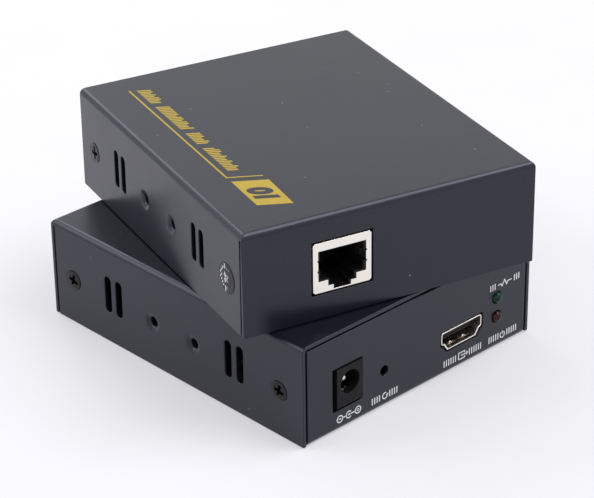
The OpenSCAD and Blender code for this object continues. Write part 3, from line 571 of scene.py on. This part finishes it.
def lathe(bm, profile, sides):
    """Turns a profile of (radius, height) points about Z; returns its last ring."""
    rings = []
    for radius, z in profile:
        if radius == 0:
            rings.append([bm.verts.new((0, 0, z))])
        else:
            rings.append([
                bm.verts.new((radius * math.cos(2 * math.pi * n / sides),
                              radius * math.sin(2 * math.pi * n / sides), z))
                for n in range(sides)])
    for low, high in zip(rings, rings[1:]):
        for n in range(sides):
            loop = [low[n % len(low)], low[(n + 1) % len(low)],
                    high[(n + 1) % len(high)], high[n % len(high)]]
            bm.faces.new(list(dict.fromkeys(loop)))
    return rings[-1]


# Node trees for what repeats

def new_tree(name, sockets):
    """A geometry tree with these named inputs; returns it with their sockets."""
    tree = bpy.data.node_groups.new(name, "GeometryNodeTree")
    tree.interface.new_socket("Geometry", in_out="OUTPUT", socket_type="NodeSocketGeometry")
    for label, kind in sockets.items():
        tree.interface.new_socket(label, in_out="INPUT", socket_type="NodeSocket" + kind)
    return tree, add(tree, "NodeGroupInput").outputs


def end_tree(tree, geometry, given):
    """Ends a tree as plain faces with the material that it was given."""
    real = add(tree, "GeometryNodeRealizeInstances", {"Geometry": geometry})
    dressed = add(tree, "GeometryNodeSetMaterial", {
        "Geometry": real, "Material": given["Material"]})
    add(tree, "NodeGroupOutput", {"Geometry": dressed})


def grow(tree, **values):
    """Runs a tree on an empty mesh and returns the result as a plain mesh."""
    host = link("grown " + tree.name, bpy.data.meshes.new(tree.name))
    modifier = host.modifiers.new("grow", "NODES")
    modifier.node_group = tree
    sockets = {
        s.name: s.identifier for s in tree.interface.items_tree if s.in_out == "INPUT"}
    for label, value in values.items():
        modifier[sockets[label]] = value
    mesh = settle(host)
    bpy.data.objects.remove(host)
    return mesh


def screw_tree():
    """The four screws of a case, each turned as it happened to stop."""
    tree, given = new_tree("cover screws", {
        "Screw": "Object", "Width": "Float", "Spacing": "Float", "Height": "Float",
        "Seed": "Int", "Material": "Material"})
    corners = add(tree, "GeometryNodeMeshGrid", {
        "Size X": given["Width"], "Size Y": given["Spacing"], "Vertices X": 2,
        "Vertices Y": 2})
    lift = add(tree, "ShaderNodeCombineXYZ", {"Z": given["Height"]})
    raised = add(tree, "GeometryNodeSetPosition", {"Geometry": corners, "Offset": lift})
    place = add(tree, "ShaderNodeSeparateXYZ", {
        "Vector": add(tree, "GeometryNodeInputPosition")})
    outward = add(tree, "ShaderNodeCombineXYZ", {"X": place.outputs["X"]})
    facing = add(tree, "FunctionNodeAlignRotationToVector", {"Vector": outward}, axis="Z")
    screw = add(tree, "GeometryNodeObjectInfo", {"Object": given["Screw"]})
    screws = add(tree, "GeometryNodeInstanceOnPoints", {
        "Points": raised, "Instance": screw.outputs["Geometry"], "Rotation": facing})
    spin = add(tree, "FunctionNodeRandomValue", {
        "Min": 0.0, "Max": math.pi / 2, "Seed": given["Seed"]}, data_type="FLOAT")
    about = add(tree, "ShaderNodeCombineXYZ", {"Z": spin})
    turned = add(tree, "GeometryNodeRotateInstances", {
        "Instances": screws, "Rotation": about})
    end_tree(tree, turned, given)
    return tree


def contact_tree():
    """A row of bent spring contacts, drawn from one path."""
    tree, given = new_tree("spring contacts", {
        "Path": "Object", "Count": "Int", "Pitch": "Float", "Width": "Float",
        "Thickness": "Float", "Bend": "Float", "Material": "Material"})
    path = add(tree, "GeometryNodeObjectInfo", {"Object": given["Path"]})
    bent = add(tree, "GeometryNodeFilletCurve", {
        "Curve": path.outputs["Geometry"], "Radius": given["Bend"], "Count": 4},
        mode="POLY")
    section = add(tree, "GeometryNodeCurvePrimitiveQuadrilateral", {
        "Width": given["Width"], "Height": given["Thickness"]})
    strip = add(tree, "GeometryNodeCurveToMesh", {
        "Curve": bent, "Profile Curve": section, "Fill Caps": True})
    step = add(tree, "ShaderNodeCombineXYZ", {"X": given["Pitch"]})
    row = add(tree, "GeometryNodeMeshLine", {"Count": given["Count"], "Offset": step})
    strips = add(tree, "GeometryNodeInstanceOnPoints", {"Points": row, "Instance": strip})
    end_tree(tree, strips, given)
    return tree


def bar_tree():
    """A row of printed bars, tall and short, that fills a length."""
    tree, given = new_tree("printed bars", {
        "Length": "Float", "Pitch": "Float", "Bar Width": "Float", "Tall": "Float",
        "Short": "Float", "Slant": "Float", "Thickness": "Float", "Seed": "Int",
        "Material": "Material"})
    lean = add(tree, "ShaderNodeMath", {0: given["Slant"]}, operation="TANGENT")
    bars = []
    for label in ("Tall", "Short"):
        size = add(tree, "ShaderNodeCombineXYZ", {
            "X": given["Bar Width"], "Y": given[label], "Z": given["Thickness"]})
        block = add(tree, "GeometryNodeMeshCube", {"Size": size})
        half = add(tree, "ShaderNodeMath", {0: given[label], 1: 0.5}, operation="MULTIPLY")
        up = add(tree, "ShaderNodeCombineXYZ", {"Y": half})
        stood = add(tree, "GeometryNodeSetPosition", {"Geometry": block, "Offset": up})
        place = add(tree, "ShaderNodeSeparateXYZ", {
            "Vector": add(tree, "GeometryNodeInputPosition")})
        shift = add(tree, "ShaderNodeMath", {
            0: place.outputs["Y"], 1: lean}, operation="MULTIPLY")
        across = add(tree, "ShaderNodeCombineXYZ", {"X": shift})
        leaned = add(tree, "GeometryNodeSetPosition", {
            "Geometry": stood, "Offset": across})
        bars.append(leaned)
    kinds = add(tree, "GeometryNodeGeometryToInstance")
    for bar in bars:
        feed(tree, kinds.inputs["Geometry"], bar)
    ratio = add(tree, "ShaderNodeMath", {
        0: given["Length"], 1: given["Pitch"]}, operation="DIVIDE")
    whole = add(tree, "ShaderNodeMath", {0: ratio}, operation="FLOOR")
    count = add(tree, "ShaderNodeMath", {0: whole, 1: 1.0}, operation="ADD")
    step = add(tree, "ShaderNodeCombineXYZ", {"X": given["Pitch"]})
    row = add(tree, "GeometryNodeMeshLine", {"Count": count, "Offset": step})
    choice = add(tree, "FunctionNodeRandomValue", {
        "Min": 0, "Max": 1, "Seed": given["Seed"]}, data_type="INT")
    placed = add(tree, "GeometryNodeInstanceOnPoints", {
        "Points": row, "Instance": kinds, "Pick Instance": True, "Instance Index": choice})
    end_tree(tree, placed, given)
    return tree


# Printed marks

def arc(x, z, radius, start=0, end=360, steps=20):
    """Points along an arc, in degrees, and whether it closes."""
    closed = end - start == 360
    angles = [math.radians(start + (end - start) * n / steps)
              for n in range(steps if closed else steps + 1)]
    return [(x + radius * math.cos(t), z + radius * math.sin(t)) for t in angles], closed


# Each sign is a list of strokes, as points in x and z from its middle, and whether the
# stroke closes

def polarity_sign():
    """Two ringed signs and a pin in a sleeve: minus outside, plus on the pin."""
    return [
        arc(-3.15, 0, 0.95), ([(-3.6, 0), (-2.7, 0)], False),
        ([(-2.2, 0), (-0.95, 0)], False), arc(0, 0, 0.95, 45, 315),
        arc(0, 0, 0.14), ([(0.14, 0), (2.2, 0)], False), arc(3.15, 0, 0.95),
        ([(2.7, 0), (3.6, 0)], False), ([(3.15, -0.45), (3.15, 0.45)], False),
    ]


def restart_sign():
    """An open circle that ends in an arrow."""
    return [arc(0, 0, 0.85, 60, 350), ([(0.35, 0.15), (0.84, -0.15), (1.15, 0.35)], False)]


def screen_sign():
    """A screen with an arrow that leaves it."""
    return [
        ([(-1.6, -0.95), (0.7, -0.95), (0.7, -0.45)], False),
        ([(0.7, 0.45), (0.7, 0.95), (-1.6, 0.95), (-1.6, -0.95)], False),
        ([(-0.7, 0), (1.9, 0)], False), ([(1.35, 0.5), (1.9, 0), (1.35, -0.5)], False),
    ]


def mains_sign():
    """A broken ring with an upright stroke in its gap."""
    return [arc(0, -0.1, 0.85, 125, 415), ([(0, 0.1), (0, 0.98)], False)]


def pulse_sign():
    """A flat line with a beat in its middle."""
    return [([
        (-2.6, 0), (-1.5, 0), (-1.0, -0.75), (-0.1, 0.85), (0.7, -0.75), (1.1, 0),
        (2.6, 0)], False)]


# Middle (x, z) of each sign on the panel, and its drawing
PANEL_SIGNS = (
    ((-25.4, 3.3), polarity_sign),
    ((-12.7, 3.25), restart_sign),
    ((15.9, 3.2), screen_sign),
    ((31.0, 3.15), mains_sign),
    ((31.4, 18.5), pulse_sign),
)
# Rows of bars beside the signs: first and last x, foot z, height
PANEL_ROWS = (
    (-17.2, -14.4, 2.3, 1.9), (-11.0, -8.1, 2.3, 1.9),
    (8.9, 13.4, 2.2, 1.9), (18.4, 22.9, 2.2, 1.9),
    (25.9, 29.3, 2.2, 1.9), (32.8, 36.2, 2.2, 1.9),
    (26.0, 27.7, 17.6, 1.8), (35.1, 36.8, 17.6, 1.8),
)
# Rows of bars along the top's edge: first and last y
TOP_ROWS = ((-38.9, -30.4), (-27.1, -12.4), (-8.8, -2.1), (1.2, 15.4))
TOP_FOOT_X, TOP_TALL, TOP_SHORT = 28.3, 3.4, 2.6
TOP_LINE = [(30.1, -40.0), (30.3, 18.6), (21.9, 21.8)]
TOP_TAG = [(30.3, 21.1), (30.5, 35.5), (22.2, 38.7), (21.6, 24.5)]
TAG_NUMBER_AT, TAG_NUMBER_SIZE = (28.8, 26.2), 7.2
TAG_NUMBERS = {"transmitter": "01", "receiver": "02"}


def slab(bm, outline, low, high):
    """A flat solid of an outline in x and y, from height low to high."""
    pairs = zip(outline, outline[1:] + outline[:1])
    area = sum(a[0] * b[1] - b[0] * a[1] for a, b in pairs)
    if area < 0:
        outline = outline[::-1]
    floor = [bm.verts.new((x, y, low)) for x, y in outline]
    roof = [bm.verts.new((x, y, high)) for x, y in outline]
    bm.faces.new(floor[::-1])
    bm.faces.new(roof)
    for n in range(len(outline)):
        m = (n + 1) % len(outline)
        bm.faces.new((floor[n], floor[m], roof[m], roof[n]))


def stroke(bm, points, closed, width, low, high):
    """A line of this width along the points, as joined flat solids."""
    points = [Vector(p) for p in points]
    count = len(points)
    sides = []
    for n, point in enumerate(points):
        before = points[n - 1] if n or closed else None
        after = points[(n + 1) % count] if n + 1 < count or closed else None
        ways = [w.normalized() for w in (
            point - before if before is not None else None,
            after - point if after is not None else None) if w is not None]
        normals = [Vector((-w.y, w.x)) for w in ways]
        middle = sum(normals, Vector((0, 0))).normalized()
        reach = width / 2 / max(0.4, middle.dot(normals[0]))
        sides.append((point + middle * reach, point - middle * reach))
    pairs = list(zip(sides, sides[1:])) + ([(sides[-1], sides[0])] if closed else [])
    for (a, b), (c, d) in pairs:
        slab(bm, [tuple(a), tuple(b), tuple(d), tuple(c)], low, high)


def panel_place(x, z):
    """Puts a drawing in x and y on the socket panel, facing out, in metres."""
    place = Matrix.Translation(Vector((x, PANEL_Y, z)) * MM)
    return place @ Matrix.Rotation(math.pi / 2, 4, "X")


def top_place(x, y):
    """Puts a drawing on the top: its x runs along +Y there, and its y along -X."""
    place = Matrix.Translation(Vector((x, y, CASE_H / MM)) * MM)
    return place @ Matrix.Rotation(math.pi / 2, 4, "Z")


def print_bars(tree, seed, material, slant, length, pitch, width, tall, short):
    """One row of printed bars as a mesh, from the origin along +X."""
    ink = bpy.context.scene.extender_print.thickness
    return grow(tree, **{
        "Length": length * MM, "Pitch": pitch * MM, "Bar Width": width * MM,
        "Tall": tall * MM, "Short": short * MM, "Slant": slant, "Thickness": 2 * ink,
        "Seed": seed, "Material": finish(material)})


def drawn(name, draw):
    """A mesh that a function draws in millimetres, turned to metres."""
    bm = bmesh.new()
    draw(bm)
    bmesh.ops.scale(bm, vec=(MM, MM, MM), verts=bm.verts)
    return as_mesh(name, bm)


def number_mesh(text, size, slant, thickness):
    """A plain number as a thin solid, its foot on the x axis."""
    curve = bpy.data.curves.new("number", "FONT")
    curve.body = text
    curve.size = size
    curve.shear = math.tan(slant)
    curve.extrude = thickness
    # the font's strokes are thickened to a bold face
    curve.offset = 0.07 * size
    host = link("number", curve)
    mesh = evaluated(host)
    bpy.data.objects.remove(host)
    return mesh


# Operators

class EXTENDER_OT_cases(bpy.types.Operator):
    """Round the edges of both folded cases and coat them"""
    bl_idname = "extender.cases"
    bl_label = "Cases"

    def execute(self, context):
        edge = context.scene.extender_case.edge
        for unit in UNITS:
            for part in ("cover", "chassis"):
                refine(unit, part, part + "_coated", "powder_coat", edge, BROAD_ANGLE)
        return {"FINISHED"}


class EXTENDER_OT_screws(bpy.types.Operator):
    """Set four countersunk cross-head screws in each case"""
    bl_idname = "extender.screws"
    bl_label = "Cover screws"

    # sizes in mm, and the count of sides
    SHANK_R, LENGTH, CHAMFER = 1.5, 5.0, 0.3
    RIM_ROUND, CROWN, SIDES = 0.12, 0.12, 40
    # the recess's depth, and its arms' reach and half width at the mouth and at the foot
    DEPTH, MOUTH_ARMS, FOOT_ARMS = 1.3, (1.75, 0.5), (0.7, 0.3)

    def execute(self, context):
        screw = self.screw(context.scene.extender_fittings.head / 2)
        tree = screw_tree()
        for number, unit in enumerate(UNITS):
            mesh = grow(tree, **{
                "Screw": screw, "Width": CASE_W, "Spacing": SCREW_ROW,
                "Height": SIDE_HOLE_Z, "Seed": number, "Material": finish("black_zinc")})
            mesh.transform(unit_place(unit))
            piece = link(unit + "_cross_head_screws", mesh)
            dress(piece, unit, "black_zinc", "black_zinc", unit + "_cover_screws")
        bpy.data.objects.remove(screw)
        return {"FINISHED"}

    def screw(self, head):
        """A countersunk screw along Z, its head's rim at z = 0, with a cross recess."""
        shank, chamfer, tip = self.SHANK_R * MM, self.CHAMFER * MM, -self.LENGTH * MM
        soft, crown = self.RIM_ROUND * MM, self.CROWN * MM
        bm = bmesh.new()
        rim = lathe(bm, [
            (0, tip), (shank - chamfer, tip), (shank, tip + chamfer),
            (shank, shank - head), (head - soft, -soft), (head - soft / 3, 0),
            (head - 2.5 * soft, crown * 0.7), (head - 6 * soft, crown)], self.SIDES)
        mouth, foot = (
            [bm.verts.new((x, y, z)) for x, y in self.cross(reach * MM, half * MM)]
            for (reach, half), z in (
                (self.MOUTH_ARMS, crown), (self.FOOT_ARMS, -self.DEPTH * MM)))
        edges = []
        for loop in (rim, mouth):
            for one, other in zip(loop, loop[1:] + loop[:1]):
                edges.append(bm.edges.get((one, other)) or bm.edges.new((one, other)))
        bmesh.ops.triangle_fill(bm, use_beauty=True, edges=edges)
        for n in range(len(mouth)):
            m = (n + 1) % len(mouth)
            bm.faces.new((mouth[n], mouth[m], foot[m], foot[n]))
        bm.faces.new(foot)
        bmesh.ops.recalc_face_normals(bm, faces=bm.faces)
        mesh = as_mesh("screw", bm)
        smooth(mesh, BROAD_ANGLE)
        return link("screw", mesh)

    def cross(self, reach, half):
        """The twelve corners of a cross: its arms' reach and half their width."""
        corner = [(reach, -half), (reach, half), (half, half)]
        return [(x * math.cos(t) - y * math.sin(t), x * math.sin(t) + y * math.cos(t))
                for t in (0, math.pi / 2, math.pi, math.pi * 1.5) for x, y in corner]


class EXTENDER_OT_network(bpy.types.Operator):
    """Finish the network sockets: shield, housing and spring contacts"""
    bl_idname = "extender.network"
    bl_label = "Network sockets"

    # one contact's path in y and z from the socket's mouth and the board's top, in mm
    PATH = [(15, -2.4), (15, 12.6), (2.4, 12.6), (2.4, 11.4), (10.5, 8.8)]
    # the mouth's middle in the unit, and the wire's width, thickness and bend
    MOUTH = (13.9, 47.9, 6.8)
    WIRE_W, WIRE_T, BEND = 0.45, 0.3, 0.35

    def execute(self, context):
        fittings = context.scene.extender_fittings
        for unit in UNITS:
            refine(unit, "network_jack_shield", "network_shield_plated", "plated_shield",
                   fittings.metal_edge)
            refine(unit, "network_jack_housing", "network_housing_moulded",
                   "black_plastic", fittings.plastic_edge / 2)
            self.contacts(unit, fittings)
        return {"FINISHED"}

    def contacts(self, unit, fittings):
        """A row of contacts, made along +X and then turned to face out of the mouth."""
        curve = bpy.data.curves.new("contact path", "CURVE")
        curve.dimensions = "3D"
        line = curve.splines.new("POLY")
        line.points.add(len(self.PATH) - 1)
        for point, (y, z) in zip(line.points, self.PATH):
            point.co = (0, y * MM, z * MM, 1)
        path = link("contact path", curve)
        mesh = grow(contact_tree(), **{
            "Path": path, "Count": fittings.contacts, "Pitch": fittings.contact_pitch,
            "Width": self.WIRE_W * MM, "Thickness": self.WIRE_T * MM,
            "Bend": self.BEND * MM, "Material": finish("gold")})
        bpy.data.objects.remove(path)
        middle = (fittings.contacts - 1) / 2 * fittings.contact_pitch
        mesh.transform(
            unit_place(unit) @ Matrix.Translation(Vector(self.MOUTH) * MM)
            @ Matrix.Rotation(math.pi, 4, "Z") @ Matrix.Translation((-middle, 0, 0)))
        piece = link(unit + "_network_spring_contacts", mesh)
        dress(piece, unit, "gold", "gold", unit + "_network_jack_contacts")


class EXTENDER_OT_video(bpy.types.Operator):
    """Finish the video sockets: metal mouth and moulded tongue"""
    bl_idname = "extender.video"
    bl_label = "Video sockets"

    def execute(self, context):
        fittings = context.scene.extender_fittings
        for unit in UNITS:
            refine(unit, "video_socket_shell", "video_shell_plated", "plated_shield",
                   2 * fittings.metal_edge)
            refine(unit, "video_socket_tongue", "video_tongue_moulded", "black_plastic",
                   fittings.plastic_edge / 2)
        return {"FINISHED"}


class EXTENDER_OT_power(bpy.types.Operator):
    """Finish the power sockets: moulded body with its round hole, pin and leaf spring"""
    bl_idname = "extender.power"
    bl_label = "Power sockets"

    def execute(self, context):
        fittings = context.scene.extender_fittings
        for unit in UNITS:
            refine(unit, "power_jack_body", "power_socket_moulded", "black_plastic",
                   fittings.plastic_edge)
            refine(unit, "power_jack_pin", "power_socket_pin", "tin", fittings.metal_edge)
            refine(unit, "power_jack_spring", "power_socket_spring", "tin",
                   fittings.metal_edge / 2)
        return {"FINISHED"}


class EXTENDER_OT_lights(bpy.types.Operator):
    """Finish the green and red indicator lights"""
    bl_idname = "extender.lights"
    bl_label = "Indicator lights"

    LENS_EDGE = 0.08

    def execute(self, context):
        for unit in UNITS:
            for part, slot in (("status_light", "green_lens"), ("power_light", "red_lens")):
                refine(unit, part, part + "_lens", slot, self.LENS_EDGE * MM, BROAD_ANGLE)
        return {"FINISHED"}


class EXTENDER_OT_print(bpy.types.Operator):
    """Print the signs on the socket panels and the band along each top's edge"""
    bl_idname = "extender.print"
    bl_label = "Print"

    # sizes in mm
    SIGN_LINE, PANEL_PITCH, PANEL_BAR = 0.3, 0.85, 0.34
    TOP_LINE_W, TOP_PITCH, TOP_BAR = 0.48, 1.05, 0.7
    # the panel's short bars as a share of the tall ones, and how many times higher than
    # the tag's ink the number's stands
    SHORT_SHARE, NUMBER_RISE = 0.99, 1.6

    def execute(self, context):
        settings = context.scene.extender_print
        ink = settings.thickness / MM
        tree = bar_tree()
        for unit in UNITS:
            self.panel(unit, tree, ink, settings)
            self.top(unit, tree, ink, settings)
        return {"FINISHED"}

    def panel(self, unit, tree, ink, settings):
        """The signs and rows of bars round the sockets and lights."""
        meshes = []
        for place, sign in PANEL_SIGNS:
            def draw(bm, strokes=sign()):
                for points, closed in strokes:
                    stroke(bm, points, closed, self.SIGN_LINE, -ink, ink)
            meshes.append(drawn("sign", draw))
            meshes[-1].transform(panel_place(*place))
        for number, (start, end, foot, height) in enumerate(PANEL_ROWS):
            meshes.append(print_bars(
                tree, settings.seed + number, "panel_ink", 0, end - start,
                self.PANEL_PITCH, self.PANEL_BAR, height, height * self.SHORT_SHARE))
            meshes[-1].transform(panel_place(start, foot))
        piece = joined(unit + "_panel_print", meshes)
        piece.data.transform(unit_place(unit))
        dress(piece, unit, "panel_ink", "powder_coat")

    def top(self, unit, tree, ink, settings):
        """The rows of bars, the line and the tag with its number along the edge."""
        meshes = []
        for number, (start, end) in enumerate(TOP_ROWS):
            meshes.append(print_bars(
                tree, settings.seed + number, "top_ink", settings.slant, end - start,
                self.TOP_PITCH, self.TOP_BAR, TOP_TALL, TOP_SHORT))
            meshes[-1].transform(top_place(TOP_FOOT_X, start))
        low, high = CASE_H / MM - ink, CASE_H / MM + ink
        meshes.append(drawn("line", lambda bm: stroke(
            bm, TOP_LINE, False, self.TOP_LINE_W, low, high)))
        meshes.append(drawn("tag", lambda bm: slab(bm, TOP_TAG, low, high)))
        piece = joined(unit + "_top_print", meshes)
        piece.data.transform(unit_place(unit))
        dress(piece, unit, "top_ink", "powder_coat")
        number = number_mesh(
            TAG_NUMBERS[unit], TAG_NUMBER_SIZE * MM, settings.slant,
            self.NUMBER_RISE * ink * MM)
        number.transform(top_place(*TAG_NUMBER_AT))
        number.transform(unit_place(unit))
        piece = link(unit + "_tag_number", number)
        dress(piece, unit, "case_ink", "powder_coat")


class EXTENDER_OT_seal(bpy.types.Operator):
    """Stick the round foil seal over the transmitter's rear screw"""
    bl_idname = "extender.seal"
    bl_label = "Quality seal"

    # sizes in mm
    RADIUS, THICKNESS, SIDES = 4.1, 0.12, 64
    # the foil sinks a little into the screw's rim: how deep, at what radius, how widely
    DISH, DISH_R, DISH_SPREAD = 0.05, 2.4, 0.6
    RINGS = (4.0, 3.4, 3.0, 2.7, 2.4, 2.0, 1.5, 0.8)

    def execute(self, context):
        mesh = drawn("seal", self.disc)
        mesh.transform(
            unit_place("transmitter") @ Matrix.Translation(Vector(SEAL_AT) * MM)
            @ Matrix.Rotation(math.pi / 2, 4, "Y"))
        piece = link("transmitter_foil_seal", mesh)
        smooth(mesh, BROAD_ANGLE)
        dress(piece, "transmitter", "seal_foil", "seal_foil", "transmitter_quality_seal")
        return {"FINISHED"}

    def disc(self, bm):
        """The foil along Z, its back at z = 0."""
        def height(radius):
            dish = math.exp(-((radius - self.DISH_R) / self.DISH_SPREAD) ** 2)
            return self.THICKNESS - self.DISH * dish
        rim = [(0, 0), (self.RADIUS, 0), (self.RADIUS, self.THICKNESS * 0.6)]
        lathe(bm, rim + [(r, height(r)) for r in self.RINGS] + [(0, self.THICKNESS)],
              self.SIDES)
        bmesh.ops.recalc_face_normals(bm, faces=bm.faces)


class EXTENDER_OT_inside(bpy.types.Operator):
    """Give every other piece the finish that the record names for it"""
    bl_idname = "extender.inside"
    bl_label = "Inside pieces"

    def execute(self, context):
        for row in frame["record"]["subparts"]:
            node = frame["nodes"][row["node"]]
            node.data.materials.clear()
            node.data.materials.append(finish(row["material_slot"]))
        return {"FINISHED"}


class EXTENDER_OT_stage(bpy.types.Operator):
    """Set up the floor, the white room, the soft lamps and the camera"""
    bl_idname = "extender.stage"
    bl_label = "Stage"

    FLOOR_SIZE = 8.0
    # share of the floor's look that is its own white, and not the light on it
    GLOW = 0.45
    # name, place, size, watts and colour of each soft lamp, and the point they aim at
    LAMPS = (
        ("overhead lamp", (0.42, -0.5, 1.1), 0.9, 8.2, "#F5F7FF"),
        ("left lamp", (-0.62, 0.6, 0.62), 0.85, 3.7, "#F5F7FF"),
        ("rear lamp", (0.18, 0.79, 0.67), 0.55, 1.6, "#F5F7FF"),
    )
    AIM = Vector((0, 0, 0.03))

    def execute(self, context):
        stage = context.scene.extender_stage
        self.room(context.scene, stage)
        self.floor()
        for name, place, size, power, colour in self.LAMPS:
            lamp = bpy.data.lights.new(name, "AREA")
            lamp.shape = "DISK"
            lamp.size = size
            lamp.energy = power
            lamp.color = linear(colour)
            holder = link(name, lamp)
            holder.location = place
            aim = self.AIM - Vector(place)
            holder.rotation_euler = aim.to_track_quat("-Z", "Y").to_euler()
        self.camera(context.scene, stage)
        context.scene.view_settings.view_transform = "Standard"
        return {"FINISHED"}

    def seen(self, tree):
        """One for a ray that looks or mirrors, and zero for one that lights."""
        path = add(tree, "ShaderNodeLightPath")
        found = path.outputs["Is Camera Ray"]
        for name in ("Is Glossy Ray", "Is Transmission Ray"):
            found = add(tree, "ShaderNodeMath", {
                0: found, 1: path.outputs[name]}, operation="MAXIMUM")
        return found

    def room(self, scene, stage):
        """A plain room: even light, and white where it is seen or mirrored."""
        world = bpy.data.worlds.new("white room")
        scene.world = world
        world.use_nodes = True
        tree = world.node_tree
        tree.nodes.clear()
        level = add(tree, "ShaderNodeMapRange", {
            "Value": self.seen(tree), "To Min": stage.surroundings, "To Max": 1.0})
        light = add(tree, "ShaderNodeBackground", {
            "Color": (1, 1, 1, 1), "Strength": level})
        add(tree, "ShaderNodeOutputWorld", {"Surface": light})

    def floor(self):
        """Smooth white board: matt, with a little of its own white where it is seen, so
        that it joins the white room and still keeps a soft shadow."""
        white = linear("#F4F3F6")
        made = new_material("white board", white, 0.8)
        weather(made, size=40 * MM, detail=2,
                colours=(linear("#F2F1F4"), linear("#F5F4F7")))
        tree, shader = surface(made)
        glow = add(tree, "ShaderNodeEmission", {"Color": (*white, 1)})
        share = add(tree, "ShaderNodeMath", {
            0: self.seen(tree), 1: self.GLOW}, operation="MULTIPLY")
        mixed = add(tree, "ShaderNodeMixShader", {0: share, 1: shader, 2: glow})
        target = [n for n in tree.nodes if n.type == "OUTPUT_MATERIAL"][0]
        feed(tree, target.inputs["Surface"], mixed)
        bm = bmesh.new()
        bmesh.ops.create_grid(bm, x_segments=8, y_segments=8, size=self.FLOOR_SIZE / 2)
        mesh = as_mesh("floor", bm)
        mesh.materials.append(made)
        link("floor", mesh)

    def camera(self, scene, stage):
        """Turns the camera to its direction, elevation and roll."""
        turn, height, roll = stage.turn, stage.height, stage.roll
        right = Vector((math.cos(turn), math.sin(turn), 0))
        back = Vector((math.sin(turn) * math.cos(height),
                       -math.cos(turn) * math.cos(height), math.sin(height)))
        up = back.cross(right)
        x = math.cos(roll) * right + math.sin(roll) * up
        y = math.cos(roll) * up - math.sin(roll) * right
        data = bpy.data.cameras.new("camera")
        data.sensor_width = 36
        data.lens = stage.lens
        data.clip_start = 0.01
        camera = link("camera", data)
        camera.matrix_world = Matrix.Translation(stage.camera) @ Matrix(
            (x, y, back)).transposed().to_4x4()
        scene.camera = camera


class EXTENDER_PT_panel(bpy.types.Panel):
    """The sizes and colours of the pair, and the steps that dress it"""
    bl_label = "Extender pair"
    bl_idname = "EXTENDER_PT_panel"
    bl_space_type = "VIEW_3D"
    bl_region_type = "UI"
    bl_category = "Extender"

    def draw(self, context):
        for name in SETTINGS:
            box = self.layout.box()
            group = getattr(context.scene, name)
            for prop in group.bl_rna.properties:
                if prop.identifier not in ("rna_type", "name"):
                    box.prop(group, prop.identifier)
        for step in STEPS:
            self.layout.operator(step.bl_idname)


SETTINGS = {
    "extender_case": CaseSettings,
    "extender_fittings": FittingSettings,
    "extender_print": PrintSettings,
    "extender_stage": StageSettings,
}
STEPS = (
    EXTENDER_OT_stage, EXTENDER_OT_inside, EXTENDER_OT_cases, EXTENDER_OT_screws,
    EXTENDER_OT_network, EXTENDER_OT_video, EXTENDER_OT_power, EXTENDER_OT_lights,
    EXTENDER_OT_print, EXTENDER_OT_seal,
)


def register():
    for made in (*SETTINGS.values(), *STEPS, EXTENDER_PT_panel):
        bpy.utils.register_class(made)
    for name, group in SETTINGS.items():
        setattr(bpy.types.Scene, name, PointerProperty(type=group))


def unregister():
    for name in SETTINGS:
        delattr(bpy.types.Scene, name)
    for made in reversed((*SETTINGS.values(), *STEPS, EXTENDER_PT_panel)):
        bpy.utils.unregister_class(made)


def main():
    register()
    for step in STEPS:
        group, name = step.bl_idname.split(".")
        getattr(getattr(bpy.ops, group), name)()


if __name__ == "__main__":
    main()
